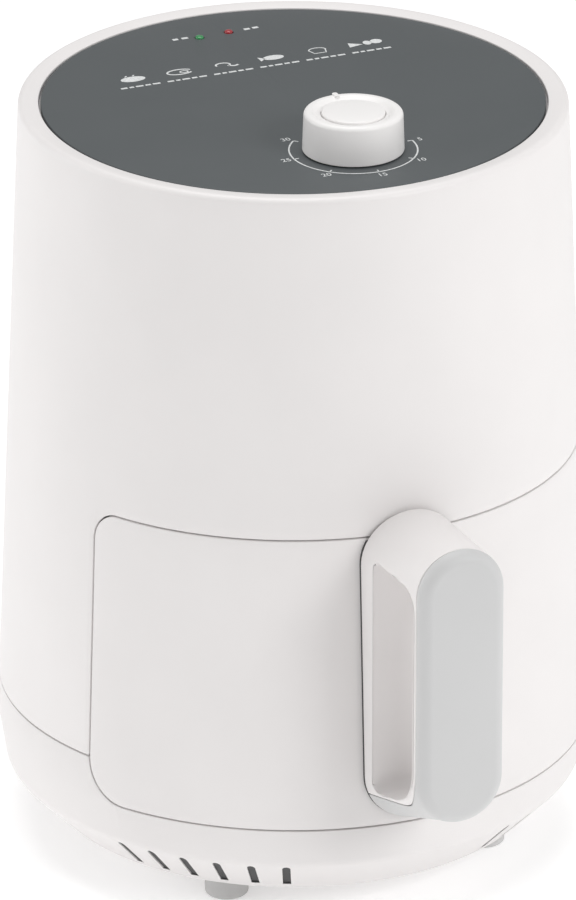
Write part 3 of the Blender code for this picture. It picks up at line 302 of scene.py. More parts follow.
class Piece:
    def __init__(self, name, bm):
        self.obj = loose_object(name, bm)
        self.tools = []

    def combine(self, bm, operation):
        tool = loose_object(self.obj.name + "_tool", bm)
        self.tools.append(tool)
        step = self.obj.modifiers.new("combine", "BOOLEAN")
        step.operation = operation
        step.solver = "EXACT"
        step.object = tool
        return self

    def cut(self, bm):
        return self.combine(bm, "DIFFERENCE")

    def add(self, bm):
        return self.combine(bm, "UNION")

    def soften(self, width, segments=2, angle=40):
        weld = self.obj.modifiers.new("weld", "WELD")
        weld.merge_threshold = width / 20
        bevel = self.obj.modifiers.new("soften", "BEVEL")
        bevel.width = width
        bevel.segments = segments
        bevel.limit_method = "ANGLE"
        bevel.angle_limit = math.radians(angle)
        bevel.use_clamp_overlap = False
        return self

    def finish(self, material, body, replaces=(), centre=DRUM):
        """Settles the piece at its place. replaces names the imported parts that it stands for."""
        mesh = plain_mesh(self.obj)
        self.obj.modifiers.clear()
        self.obj.data = mesh
        for vertex in mesh.vertices:
            vertex.co += Vector(centre)
        mesh.materials.clear()
        mesh.materials.append(material)
        mesh.shade_smooth()
        mesh.set_sharp_from_angle(angle=SHARP)
        for tool in self.tools:
            bpy.data.objects.remove(tool)
        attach(self.obj, body)
        if replaces:
            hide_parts(*replaces)
        print(f"{self.obj.name}: {len(mesh.polygons)} faces on {body}")
        return self.obj


# %% [markdown]
# ## Repeats
#
# Feet, screws, vent slots and holes are copies of one shape at even turns round an axis. A small
# geometry node tree makes such a ring from any shape. Its copies are realised at the end, because an
# instance has no mesh of its own to cut with or to hand on.

# %% A ring of copies
def ring_tree():
    tree = bpy.data.node_groups.new("ring_of_copies", "GeometryNodeTree")
    face = tree.interface
    face.new_socket("Shape", in_out="INPUT", socket_type="NodeSocketGeometry")
    inputs = {"Copies": "Int", "First turn": "Float", "Turn between": "Float", "Finish": "Material"}
    for name, kind in inputs.items():
        face.new_socket(name, in_out="INPUT", socket_type="NodeSocket" + kind)
    face.new_socket("Ring", in_out="OUTPUT", socket_type="NodeSocketGeometry")

    def node(kind, **links):
        made = tree.nodes.new(kind)
        for name, link in links.items():
            tree.links.new(link, made.inputs[name.replace("_", " ")])
        return made

    def maths(operation, first, second):
        made = tree.nodes.new("ShaderNodeMath")
        made.operation = operation
        tree.links.new(first, made.inputs[0])
        tree.links.new(second, made.inputs[1])
        return made.outputs[0]

    given = node("NodeGroupInput").outputs
    spots = node("GeometryNodeMeshLine", Count=given["Copies"])
    spots.inputs["Offset"].default_value = (0, 0, 0)
    steps = maths("MULTIPLY", node("GeometryNodeInputIndex").outputs[0], given["Turn between"])
    turn = node("ShaderNodeCombineXYZ", Z=maths("ADD", steps, given["First turn"]))
    rotation = node("FunctionNodeEulerToRotation", Euler=turn.outputs[0])
    copies = node(
        "GeometryNodeInstanceOnPoints", Points=spots.outputs[0], Instance=given["Shape"],
        Rotation=rotation.outputs[0],
    )
    real = node("GeometryNodeRealizeInstances", Geometry=copies.outputs[0])
    coated = node("GeometryNodeSetMaterial", Geometry=real.outputs[0], Material=given["Finish"])
    node("NodeGroupOutput", Ring=coated.outputs[0])
    return tree


RING = ring_tree()


def ring_of(bm, count, between=None, first=0.0, finish=None):
    """Copies of a solid at even turns round the Z axis, as one solid."""
    holder = loose_object("ring", bm)
    modifier = holder.modifiers.new("ring", "NODES")
    modifier.node_group = RING
    values = {
        "Copies": count, "First turn": first, "Finish": finish,
        "Turn between": FULL_TURN / count if between is None else between,
    }
    for item in RING.interface.items_tree:
        if item.name in values and values[item.name] is not None:
            modifier[item.identifier] = values[item.name]
    return solid_from(holder)


# %% [markdown]
# ## Finishes
#
# A shader is a sum of small patterns. Writing it as arithmetic keeps it readable, so `Amount` wraps
# a node's socket and turns + - * into Math nodes. `Finish` holds one material, and every pattern in
# it reads Object coordinates, which sit still on the piece from any side.

# %% Shader arithmetic
class Amount:
    """A number that changes over a surface."""

    def __init__(self, finish, socket):
        self.finish, self.socket = finish, socket

    def maths(self, operation, *values, clamp=False):
        settings = {"operation": operation, "use_clamp": clamp}
        return self.finish.node("ShaderNodeMath", settings, dict(enumerate(values)))

    def __add__(self, other):
        return self.maths("ADD", self, other)

    def __sub__(self, other):
        return self.maths("SUBTRACT", self, other)

    def __rsub__(self, other):
        return self.maths("SUBTRACT", other, self)

    def __mul__(self, other):
        return self.maths("MULTIPLY", self, other)

    def above(self, edge, softness):
        """0 below an edge and 1 above it, with a soft step between."""
        return self.maths("MULTIPLY_ADD", self, 1 / softness, 0.5 - edge / softness, clamp=True)

    __radd__, __rmul__ = __add__, __mul__


class Finish:
    def __init__(self, name, colour, roughness, metallic=0.0, **fixed):
        self.material = bpy.data.materials.new(name + "_finish")
        self.material.use_nodes = True
        self.tree = self.material.node_tree
        self.shader = self.tree.nodes["Principled BSDF"]
        self.place = self.node("ShaderNodeTexCoord", {}, {}, "Object")
        self.set("Base Color", (*colour, 1.0))
        self.set("Roughness", roughness)
        self.set("Metallic", metallic)
        for socket, value in fixed.items():
            self.set(socket.replace("_", " "), value)

    def node(self, kind, settings, values, output=0):
        """A node with its settings made first, then its sockets given values or links."""
        made = self.tree.nodes.new(kind)
        for setting, value in settings.items():
            setattr(made, setting, value)
        for socket, value in values.items():
            self.feed(made.inputs[socket], value)
        return Amount(self, made.outputs[output])

    def feed(self, socket, value):
        if isinstance(value, Amount):
            self.tree.links.new(value.socket, socket)
        else:
            socket.default_value = value

    def set(self, socket, value):
        self.feed(self.shader.inputs[socket], value)

    def stretched(self, scale):
        """Object coordinates, scaled along each axis."""
        settings = {"operation": "MULTIPLY"}
        return self.node("ShaderNodeVectorMath", settings, {0: self.place, 1: scale})

    def noise(self, size, detail=2.0, place=None):
        """Soft noise from 0 to 1 with lumps of about a size."""
        values = {"Vector": place or self.place, "Scale": 1 / size, "Detail": detail}
        return self.node("ShaderNodeTexNoise", {}, values, "Fac")

    def cells(self, size):
        """The distance from the nearest of many scattered points, about a size apart."""
        values = {"Vector": self.place, "Scale": 1 / size}
        return self.node("ShaderNodeTexVoronoi", {}, values, "Distance")

    def tint(self, share, first, second):
        """A colour between two colours. A Mix node's colour sockets are 6 and 7, and its output 2."""
        values = {0: share, 6: (*first, 1.0), 7: (*second, 1.0)}
        self.set("Base Color", self.node("ShaderNodeMix", {"data_type": "RGBA"}, values, 2))

    def relief(self, height, depth):
        values = {"Height": height, "Distance": depth, "Strength": 1.0}
        self.set("Normal", self.node("ShaderNodeBump", {}, values))


# %% [markdown]
# **Moulded plastic** comes out of a mould whose steel was spark-eroded, which leaves a very fine even
# grain, so its highlight is wide and soft. Two sizes of noise are enough: the grain goes in the
# relief, and a much larger, fainter one shifts the colour and gloss as thickness and handling do.

# %% Moulded plastics
def moulded(name, colour, roughness, grain=0.35 * MM, depth=0.010 * MM, drift=0.012):
    made = Finish(name, colour, roughness)
    patches = made.noise(35 * MM, 3)
    darker = [value * (1 - drift) for value in colour]
    lighter = [min(value * (1 + drift), 1.0) for value in colour]
    made.tint(patches.above(0.5, 0.4), darker, lighter)
    made.set("Roughness", patches * 0.06 + (roughness - 0.03))
    made.relief(made.noise(grain, 3), depth)
    return made.material


WHITE = moulded("white_plastic", (0.815, 0.790, 0.783), 0.42)
KNOB_WHITE = moulded("white_knob_plastic", (0.88, 0.865, 0.855), 0.36, grain=0.25 * MM, depth=0.006 * MM)
LIGHT_GREY = moulded("light_grey_plastic", (0.600, 0.600, 0.600), 0.50, grain=0.30 * MM)
BLACK = moulded("black_plastic", (0.030, 0.030, 0.031), 0.52, depth=0.02 * MM, drift=0.2)
CERAMIC = moulded("ceramic", (0.75, 0.72, 0.66), 0.62, grain=0.5 * MM, depth=0.03 * MM, drift=0.04)
RUBBER = moulded("grey_rubber", (0.58, 0.575, 0.57), 0.75, grain=0.8 * MM, depth=0.04 * MM, drift=0.05)
SILICONE = moulded("black_silicone", (0.040, 0.040, 0.042), 0.60, depth=0.02 * MM, drift=0.2)

# %% [markdown]
# **The control panel** is one slate-grey sheet with its marks printed in off-white ink. It is matter
# than the shell, with dust-fine grain and no visible reflections. The ink is a little uneven, as
# screen printing is, so its colour is mottled at a very small size.

# %% Panel and ink
def printed_panel():
    made = Finish("slate_panel", (0.083, 0.093, 0.097), 0.55)
    patches = made.noise(24 * MM, 4)
    made.tint(patches.above(0.5, 0.5), (0.080, 0.090, 0.094), (0.086, 0.096, 0.100))
    made.set("Roughness", patches * 0.08 + 0.44)
    made.relief(made.noise(0.22 * MM, 2), 0.006 * MM)
    return made.material


def printing_ink():
    made = Finish("white_ink", (0.72, 0.73, 0.73), 0.6)
    made.tint(made.noise(0.5 * MM, 2).above(0.45, 0.5), (0.50, 0.52, 0.52), (0.80, 0.81, 0.81))
    made.relief(made.noise(0.3 * MM, 1), 0.01 * MM)
    return made.material


SLATE, INK = printed_panel(), printing_ink()

# %% [markdown]
# **The non-stick coating** is sprayed on, so close up it has orange-peel waves, and pale flecks
# scattered in the dark. The flecks are the middles of Voronoi cells, kept only where a slower
# noise allows, so that they aren't evenly spread.

# %% Non-stick coating
def coating():
    made = Finish("dark_coating", (0.050, 0.050, 0.054), 0.36)
    near = 1 - made.cells(1.9 * MM)
    flecks = near.above(0.88, 0.06) * made.noise(5 * MM, 2).above(0.5, 0.1)
    made.tint(flecks, (0.043, 0.043, 0.047), (0.26, 0.26, 0.27))
    made.set("Roughness", made.noise(18 * MM, 3) * 0.16 + 0.28)
    made.relief(made.noise(1.1 * MM, 2), 0.05 * MM)
    return made.material


COATED = coating()

# %% [markdown]
# **Pressed steel** keeps the direction it was rolled in: long, faint streaks in gloss and relief.
# Stretching the coordinates one way before they reach the noise draws the streaks. The heater's
# sheath is steel that has been red hot, so its colour wanders between blue-black and brown.

# %% Steels and brass
def rolled_metal(name, colour, roughness, along=(0.06, 1.0, 1.0), dull=0.12):
    made = Finish(name, colour, roughness, 1.0)
    streaks = made.noise(0.5 * MM, 3, made.stretched(along))
    smudges = made.noise(22 * MM, 3)
    made.tint(smudges, [value * (1 - dull) for value in colour], colour)
    made.set("Roughness", streaks * 0.14 + smudges * 0.10 + (roughness - 0.12))
    made.relief(streaks, 0.012 * MM)
    return made.material


def heated_steel():
    made = Finish("element_steel", (0.16, 0.15, 0.14), 0.5, 0.9)
    bands = made.noise(14 * MM, 4)
    made.tint(bands.above(0.5, 0.3), (0.085, 0.085, 0.10), (0.19, 0.15, 0.12))
    made.set("Roughness", bands * 0.25 + 0.35)
    made.relief(made.noise(0.4 * MM, 3), 0.02 * MM)
    return made.material


STEEL = rolled_metal("bare_steel", (0.55, 0.55, 0.56), 0.36)
SCREW_STEEL = rolled_metal("screw_steel", (0.50, 0.50, 0.51), 0.30, along=(1.0, 1.0, 0.08))
BRASS = rolled_metal("bell_metal", (0.62, 0.50, 0.25), 0.30)
ELEMENT_STEEL = heated_steel()

# %% [markdown]
# **The lamps** are small clear domes over a coloured lens. Unlit but bright, they look their own
# colour with a lighter middle, so a weak glow of the same colour stands in for the light that a
# clear dome gathers.

# %% Lamp lenses
def lens_finish(name, deep, bright):
    made = Finish(name, deep, 0.18, Coat_Weight=0.6)
    made.tint(made.noise(0.9 * MM, 2).above(0.5, 0.6), deep, bright)
    made.set("Emission Color", (*bright, 1.0))
    made.set("Emission Strength", 0.1)
    return made.material


GREEN = lens_finish("green_lens", (0.015, 0.16, 0.045), (0.03, 0.30, 0.09))
RED = lens_finish("red_lens", (0.20, 0.008, 0.012), (0.42, 0.02, 0.03))
print("finishes:", len(bpy.data.materials))

# %% [markdown]
# ## The shell
#
# The shell is a tapering tube, open at the bottom and cut away at the front for the drawer. Rather
# than cut the opening afterwards, each upright strip of the tube starts at the height where the
# opening lets it, so the mesh follows the opening's edge exactly. At the opening's upright sides two
# strips share a turn, one long and one short, and the face between them is the cut edge of the wall.

# %% The drawer's outline on the drum
def set_back(across, half_width, corner):
    """How far an edge is set back by a round corner, at a distance from the middle."""
    into = abs(across) - (half_width - corner)
    return corner - math.sqrt(max(corner ** 2 - into ** 2, 0.0)) if into > 0 else 0.0


def strip_turns(half_width, corner):
    """Turns across the drawer, closer together where its corners bend."""
    straight = half_width - corner
    bend = [straight + corner * math.sin(math.pi / 2 * k / 12) for k in range(1, 13)]
    across = [-value for value in reversed(bend)] + steps_between(-straight, straight, 84) + bend
    return [value / BODY_RADIUS for value in across]


def turns_behind(half_angle, count=150):
    """Turns from the drawer's right side round the back to its left side, without the two ends."""
    return steps_between(half_angle, FULL_TURN - half_angle, count)[1:-1]


# %% Shell
PANEL_RADIUS, PANEL_TOP = high("top_panel").x, high("top_panel").z
PANEL_GAP, RIM_DIP = 0.8 * MM, 1.0 * MM
PANEL_LEDGE = low("top_panel").z - 0.3 * MM
LEDGE_WIDTH = 4 * MM
RIM_EDGE = 2.2 * MM


def shell_strip(turn, foot, knee):
    """The wall's outline at one turn, from its foot up the outside, over the rim and down the inside."""
    heights = [foot, knee] + steps_between(DRAWER_HIGH + 4 * MM, RIM_TOP - 8 * MM, 6)
    outside = [(drum_radius(z), z) for z in heights]
    under = PANEL_LEDGE - WALL - LEDGE_WIDTH
    rim = rounded([
        outside[-1],
        (RIM_RADIUS, RIM_TOP, RIM_EDGE),
        (PANEL_RADIUS + PANEL_GAP, RIM_TOP - RIM_DIP, 0.4 * MM),
        (PANEL_RADIUS + PANEL_GAP, PANEL_LEDGE),
        (PANEL_RADIUS - LEDGE_WIDTH, PANEL_LEDGE),
        (PANEL_RADIUS - LEDGE_WIDTH, PANEL_LEDGE - WALL),
        (drum_radius(under) - WALL, under),
    ], 6)[1:]
    inside = [(drum_radius(z) - WALL, z) for z in (knee, foot)]
    return [around(r, turn, z) for r, z in outside + rim + inside]


def shell_strips():
    half_width, corner = DRAWER_HALF_WIDTH + SEAM / 2, DRAWER_TOP_CORNER + SEAM / 2
    top, foot = DRAWER_HIGH + SEAM / 2, low("outer_shell").z
    knee = top - corner
    half = half_width / BODY_RADIUS
    strips = []
    for turn in strip_turns(half_width, corner):
        edge = top - set_back(turn * BODY_RADIUS, half_width, corner)
        strips.append(shell_strip(turn, edge, edge))
    long = [shell_strip(turn, foot, knee) for turn in [half] + turns_behind(half) + [-half]]
    return strips + long


def drum_wall(inner, outer, bottom, top, half_angle, steps=40):
    """A strip of the drum's wall at the back, between two depths from its face."""
    profile = ((inner, bottom), (outer, bottom), (outer, top), (inner, top))
    turns = [turn + math.pi for turn in steps_between(-half_angle, half_angle, steps)]
    return swept([(drum_radius(z) - depth, z) for depth, z in profile], turns)


OUTLET_HALF_ANGLE = math.radians(22)
OUTLET_LOW, OUTLET_TOP = heights("outlet_grille")
shell = Piece("shell_moulding", skin(shell_strips(), closed=True))
shell.soften(0.3 * MM)
shell.cut(drum_wall(2 * WALL, -WALL, OUTLET_LOW - GAP, OUTLET_TOP + GAP, OUTLET_HALF_ANGLE))
shell.finish(WHITE, "housing", ["outer_shell"])

# %% [markdown]
# ## The warm air outlet
#
# The air that cools the motor leaves through a louvred panel at the back. It is a strip of the
# shell's own wall, and its five slots are shorter strips.

# %% Outlet
OUTLET_SLOTS, OUTLET_BAR = 5, 2.6 * MM
half_angle = OUTLET_HALF_ANGLE - GAP / RIM_RADIUS
slot_angle = half_angle - 2 * OUTLET_BAR / RIM_RADIUS
pitch = (OUTLET_TOP - OUTLET_LOW - OUTLET_BAR) / OUTLET_SLOTS
slots = []
for row in range(OUTLET_SLOTS):
    start = OUTLET_LOW + OUTLET_BAR + row * pitch
    slots.append(drum_wall(2 * WALL, -WALL, start, start + pitch - OUTLET_BAR, slot_angle))
outlet = Piece("outlet_louvre", drum_wall(WALL, GAP, OUTLET_LOW, OUTLET_TOP, half_angle))
outlet.cut(together(slots)).soften(0.25 * MM)
outlet.finish(LIGHT_GREY, "housing", ["outlet_grille"])

# %% [markdown]
# ## The base
#
# The base is a bowl that carries on the shell's line, turns in at a shoulder and ends in a flat
# underside. Its top edge dips under the drawer, so its strips end at different heights. The slots
# that let cool air in are four groups of six round the turned-in part.

# %% Base
SHOULDER = (BODY_RADIUS - 2.2 * MM, 26.2 * MM)
WALL_FOOT = 41 * MM
UNDERSIDE = low("base_shell").z
UNDERSIDE_RADIUS = BODY_RADIUS - 17.6 * MM


def base_side(height, set_in):
    """The base's outline from a height on its side down to its underside, set in by a wall."""
    slope = (BODY_RADIUS - SHOULDER[0]) / (WALL_FOOT - SHOULDER[1])
    edge = BODY_RADIUS - max(WALL_FOOT - height, 0.0) * slope
    knee = min(height, WALL_FOOT)
    return [
        (edge - set_in, height), (BODY_RADIUS - (WALL_FOOT - knee) * slope - set_in, knee),
        (SHOULDER[0] - set_in, SHOULDER[1], 6 * MM),
        (UNDERSIDE_RADIUS - set_in / 2, UNDERSIDE + set_in, 0.6 * MM),
    ]


def base_strip(turn, height):
    outside = base_side(height, 0.0) + [(0.0, UNDERSIDE)]
    inside = [(0.0, UNDERSIDE + WALL)] + list(reversed(base_side(height, WALL)))
    return [around(r, turn, z) for r, z in rounded(outside + inside, 6)]


def base_strips():
    half_width, corner = DRAWER_HALF_WIDTH + SEAM / 2, DRAWER_LOW_CORNER + SEAM / 2
    half = half_width / BODY_RADIUS
    strips = []
    for turn in strip_turns(half_width, corner):
        dip = DRAWER_LOW - SEAM / 2 + set_back(turn * BODY_RADIUS, half_width, corner)
        strips.append(base_strip(turn, min(dip, BASE_TOP)))
    return strips + [base_strip(turn, BASE_TOP) for turn in turns_behind(half)]


# %% Vent slots and screw holes
SLOT_WIDTH, SLOT_TOP, SLOT_DEPTH = 2.9 * MM, 25.2 * MM, 21 * MM
SLOT_START, SLOT_PITCH, SLOTS_IN_GROUP = math.radians(24.7), math.radians(7.05), 6


def vent_slots(half):
    """The four groups of slots as solids of a half width, open from the base's floor up."""
    outline = [(-half, UNDERSIDE + WALL), (half, UNDERSIDE + WALL)]
    outline += arc((0, SLOT_TOP - half), half, half, 0, 180, 12)
    groups = []
    for side in (0, math.pi):
        for mirror in (-1, 1):
            slot = prism(outline, "Y", -BODY_RADIUS - WALL, -BODY_RADIUS + SLOT_DEPTH)
            groups.append(ring_of(slot, SLOTS_IN_GROUP, mirror * SLOT_PITCH, side + mirror * SLOT_START))
    return together(groups)


SCREW_RADIUS, SCREW_HEAD, SCREW_HEAD_DEPTH = 1.8 * MM, 3.4 * MM, 2.2 * MM
FOOT_TURN, FOOT_SPREAD = math.radians(1.2), math.radians(43.3)
foot_ring_radius = middle_of("foot_1").xy.length
screw_ring_radius = middle_of("base_screw_1").xy.length
screw_hole = moved(rod(SCREW_RADIUS + GAP, 0, 4 * UNDERSIDE, 24), (0, -screw_ring_radius, 0))


def four_of(bm, finish=None):
    """Copies at the feet's turns, which are two opposite pairs."""
    pairs = []
    for turn in (FOOT_TURN + FOOT_SPREAD, FOOT_TURN - FOOT_SPREAD):
        pairs.append(ring_of(bm.copy(), 2, first=turn, finish=finish))
    bm.free()
    return together(pairs)


GLAND_HEIGHT, GLAND_RADIUS = middle_of("cord_gland").z, 5.5 * MM
gland_hole = rod(GLAND_RADIUS + GAP, -WALL, 3 * WALL, 48)
gland_hole = aimed(gland_hole, (0, BODY_RADIUS - 2 * WALL, GLAND_HEIGHT), (0, 1, 0))

base = Piece("base_moulding", skin(base_strips(), closed=True))
base.soften(0.3 * MM)
base.cut(vent_slots(SLOT_WIDTH / 2)).cut(four_of(screw_hole)).cut(gland_hole)
base.finish(WHITE, "housing", ["base_shell"])

# %% Black fill in the slots, painted shade of the base's dark inside
def bowl(outer, inner):
    """The base's bowl between two depths in its wall."""
    shoulder = WALL_FOOT - 1 * MM
    return turned(rounded(base_side(shoulder, outer) + list(reversed(base_side(shoulder, inner))), 6))


# The black fill set just inside each slot is painted shade: it darkens the slots where the inside of the
# base is in shade.
slot_shade_fill = Piece("vent_slot_shade", vent_slots(SLOT_WIDTH / 2 - 0.02 * MM))
slot_shade_fill.combine(bowl(0.5 * MM, WALL - GAP), "INTERSECT")
slot_shade_fill.finish(BLACK, "housing")

# %% [markdown]
# ## Feet, screws and the cord's grommet
#
# Four rubber feet stand on a slightly rounded edge and have a shallow hollow underneath, which keeps
# them from sliding. The screws beside them have a domed head with a cross recess. All of these are
# rings of one copied shape.

# %% Feet
FOOT_RADIUS, FOOT_TOP, HOLLOW, HOLLOW_RADIUS = 7.75 * MM, high("foot_1").z, 0.5 * MM, 5.2 * MM
foot = turned(rounded([
    (0, HOLLOW), (HOLLOW_RADIUS, HOLLOW, 0.4 * MM), (HOLLOW_RADIUS + 0.4 * MM, 0, 0.3 * MM),
    (FOOT_RADIUS, 0, 1.3 * MM), (FOOT_RADIUS, FOOT_TOP), (0, FOOT_TOP),
], 5), 64)
feet = Piece("feet", four_of(moved(foot, (0, -foot_ring_radius, 0)), RUBBER))
feet.finish(RUBBER, "housing", [f"foot_{k}" for k in range(1, 5)])


# %% Base screws
CROSS_DEPTH, CROSS_REACH, CROSS_HALF_WIDTH = 0.9 * MM, 1.9 * MM, 0.45 * MM


def screw(length):
    """A domed screw along Z with its head up, and a cross cut in the head."""
    head = [(SCREW_HEAD, 0), (SCREW_HEAD, 0.5 * MM), (2.6 * MM, 1.7 * MM), (1.4 * MM, SCREW_HEAD_DEPTH)]
    profile = [(0, -length), (SCREW_RADIUS, -length), (SCREW_RADIUS, 0)] + head + [(0, SCREW_HEAD_DEPTH)]
    holder = Piece("screw", turned(profile, 32))
    floor = SCREW_HEAD_DEPTH - CROSS_DEPTH
    for x, y in ((CROSS_REACH, CROSS_HALF_WIDTH), (CROSS_HALF_WIDTH, CROSS_REACH)):
        holder.cut(block((-x, -y, floor), (x, y, 2 * SCREW_HEAD_DEPTH)))
    return solid_from(holder.obj, *holder.tools)


SCREW_LENGTH = high("base_screw_1").z - low("base_screw_1").z - SCREW_HEAD_DEPTH
down = aimed(screw(SCREW_LENGTH), (0, -screw_ring_radius, UNDERSIDE - GAP), (0, 0, -1))
screws = Piece("base_screws", four_of(down, SCREW_STEEL))
screws.finish(SCREW_STEEL, "housing", [f"base_screw_{k}" for k in range(1, 5)])

# %% Grommet
gland_start = low("cord_gland").y - DRUM.y
bore, flange, shoulder = GLAND_RADIUS - 2 * MM, GLAND_RADIUS + WALL, 0.8 * WALL
grommet = turned(rounded([
    (bore, 0, 0.5 * MM), (flange, 0), (flange, shoulder), (GLAND_RADIUS, shoulder),
    (GLAND_RADIUS, 2.1 * WALL, 0.6 * MM), (bore, 2.1 * WALL, 0.6 * MM),
]), 64)
gland = Piece("cord_grommet", aimed(grommet, (0, gland_start, GLAND_HEIGHT), (0, 1, 0)))
gland.finish(BLACK, "housing", ["cord_gland"])

# %% [markdown]
# ## The control panel
#
# The panel is a shallow disc that drops into the rim with a fine gap all round. It has one hole for
# the timer's spindle and two for the lamps.

# %% Panel
PANEL_LOW = low("top_panel").z
KNOB = Vector((*joints["timer_turn"]["pos_m"][:2], 0.0)) - DRUM
SPINDLE_RADIUS, LAMP_RADIUS = 3 * MM, 1.5 * MM

lamp_places = {name: middle_of(name) for name in ("power_lamp", "heat_lamp")}
panel = Piece("panel_disc", turned(rounded([
    (0, PANEL_LOW), (PANEL_RADIUS, PANEL_LOW), (PANEL_RADIUS, PANEL_TOP, 0.4 * MM), (0, PANEL_TOP),
], 3)))
panel.cut(moved(rod(SPINDLE_RADIUS + MM, PANEL_LOW - WALL, PANEL_TOP + WALL), KNOB))
for place in lamp_places.values():
    hole = rod(LAMP_RADIUS + GAP, PANEL_LOW - WALL, PANEL_TOP + WALL, 24)
    panel.cut(moved(hole, (place.x, place.y, 0)))
panel.finish(SLATE, "housing", ["top_panel"])

# %% [markdown]
# ### The printing
#
# The marks are a hair thick and stand on the panel, as heavy screen printing does. Each is drawn
# with one of two tools: a `stroke` of even width along a line, or a filled outline. There is the
# dial, with a tick and a number for each five minutes, six plain pictures of food, and short bars
# where a maker would print the words.

# %% Drawing tools
INK_LOW, INK_HIGH = PANEL_TOP + 0.01 * MM, PANEL_TOP + 0.06 * MM
marks = []


def stroke(points, width):
    """A flat bar of even width along a line of points."""
    line = [Vector(point) for point in points]
    rings = []
    for i, here in enumerate(line):
        ahead = (line[min(i + 1, len(line) - 1)] - line[max(i - 1, 0)]).normalized()
        side = Vector((-ahead.y, ahead.x)) * width / 2
        left, right = here - side, here + side
        rings.append([(*left, INK_LOW), (*right, INK_LOW), (*right, INK_HIGH), (*left, INK_HIGH)])
    marks.append(skin(rings))


def filled(outline):
    marks.append(prism(outline, "Z", INK_LOW, INK_HIGH))


# %% The dial
DIAL_RADIUS, NUMBER_RADIUS, TICK_INNER = 22.1 * MM, 25.0 * MM, 20.3 * MM
DIAL_START, DIAL_END, DIAL_STEP, NUMBER_SIZE = 90, 315, 45, 3.6 * MM


def on_dial(radius, clockwise):
    """A point on the dial, with its turn in degrees clockwise from the back."""
    turn = math.radians(clockwise)
    return (KNOB.x + radius * math.sin(turn), KNOB.y + radius * math.cos(turn))


stroke([on_dial(DIAL_RADIUS, turn) for turn in steps_between(DIAL_START, DIAL_END, 90)], 0.55 * MM)
for number, turn in enumerate(range(DIAL_START, DIAL_END + 1, DIAL_STEP), 1):
    stroke([on_dial(TICK_INNER, turn), on_dial(DIAL_RADIUS, turn)], 0.5 * MM)
    text = bpy.data.curves.new("number", "FONT")
    text.body = str(5 * number)
    text.size = NUMBER_SIZE
    text.align_x, text.align_y = "CENTER", "CENTER"
    text.extrude = (INK_HIGH - INK_LOW) / 2
    holder = bpy.data.objects.new("number", text)
    bpy.context.scene.collection.objects.link(holder)
    bpy.context.view_layer.update()
    marks.append(moved(solid_from(holder), (*on_dial(NUMBER_RADIUS, turn), (INK_LOW + INK_HIGH) / 2)))
print("dial marks:", len(marks))

# %% Six foods and their captions
ICON_ROW, CAPTION_ROW, ICON_PITCH, FINE = 39.5 * MM, 32.4 * MM, 17.6 * MM, 0.5 * MM
columns = [ICON_PITCH * (k - 2.5) for k in range(6)]


def icon_point(column, x, y):
    return (columns[column] + x * MM, ICON_ROW + y * MM)


def icon_line(column, width, *points):
    stroke([icon_point(column, x, y) for x, y in points], width)


def icon_arc(column, x, y, width, height, start=0, end=360):
    return arc(icon_point(column, x, y), width * MM, height * MM, start, end)


# a loaf with two cuts, a steak, a chicken leg, a fish, a cup cake, and a pizza slice with a prawn
filled(icon_arc(0, 0, 0, 4.6, 2.4)[:-1])
for x in (-1.6, 1.2):
    icon_line(0, FINE, (x - 0.4, 2.7), (x + 0.6, 3.6))
stroke(icon_arc(1, 0, 0, 4.6, 2.3, 20, 330), 0.7 * MM)
stroke(icon_arc(1, 1.6, -0.3, 1.5, 0.9), FINE)
stroke(icon_arc(2, -1.0, 0.3, 2.6, 1.7, -60, 200), 0.7 * MM)
icon_line(2, 0.9 * MM, (0.6, -1.0), (2.6, -1.9), (4.2, -1.3))
filled(icon_arc(3, 0.6, 0, 3.9, 2.1)[:-1])
filled([icon_point(3, -2.6, 0), icon_point(3, -4.8, 1.9), icon_point(3, -4.8, -1.9)])
icon_line(4, FINE, (-3.0, 0.4), (-2.2, -2.4), (2.2, -2.4), (3.0, 0.4))
stroke(icon_arc(4, 0, 0.4, 3.2, 2.2, 0, 180), FINE)
filled([icon_point(5, -6.0, -1.8), icon_point(5, -0.6, -0.6), icon_point(5, -5.2, 2.2)])
filled(icon_arc(5, 1.4, 0.2, 1.5, 1.9)[:-1])
filled(icon_arc(5, 4.9, 0.4, 2.2, 2.0)[:-1])
for column in columns:
    for start, length in ((-7.4, 2.4), (-4.2, 1.6), (-1.8, 2.8), (1.8, 2.0), (4.6, 2.8)):
        x = column + start * MM
        stroke([(x, CAPTION_ROW), (x + length * MM, CAPTION_ROW)], 1.1 * MM)

# %% Marks beside the lamps, and the finished printing
for x, y, length in ((-16.6, 69.2, 2.0), (-13.2, 69.2, 2.4), (10.6, 68.9, 2.2), (13.9, 69.1, 2.2)):
    stroke([(x * MM, y * MM), ((x + length) * MM, y * MM)], 1.5 * MM)
printing = Piece("panel_printing", together(marks))
printing.finish(INK, "housing")

# %% [markdown]
# ### The lamps
#
# Each lamp is a slim rod with a low dome, flush with the panel, so that only its round end shows.

# %% Lamps
for name, finish in (("power_lamp", GREEN), ("heat_lamp", RED)):
    place = lamp_places[name]
    bottom, top = heights(name)
    side = [(LAMP_RADIUS, bottom, 0.2 * MM), (LAMP_RADIUS, top, 0.7 * MM)]
    dome = turned(rounded([(0, bottom), *side, (0, top)], 6), 48)
    lamp = Piece(name + "_lens", moved(dome, (place.x, place.y, 0)))
    lamp.finish(finish, "housing", [name])

# %% [markdown]
# ## The timer knob
#
# The knob is a short drum with a rounded top edge. Inside the edge the top falls in a shallow dish
# to a separate cap, and a small ridge on the back of the edge is the pointer, here at off. It turns,
# so it rides on the dial's body.

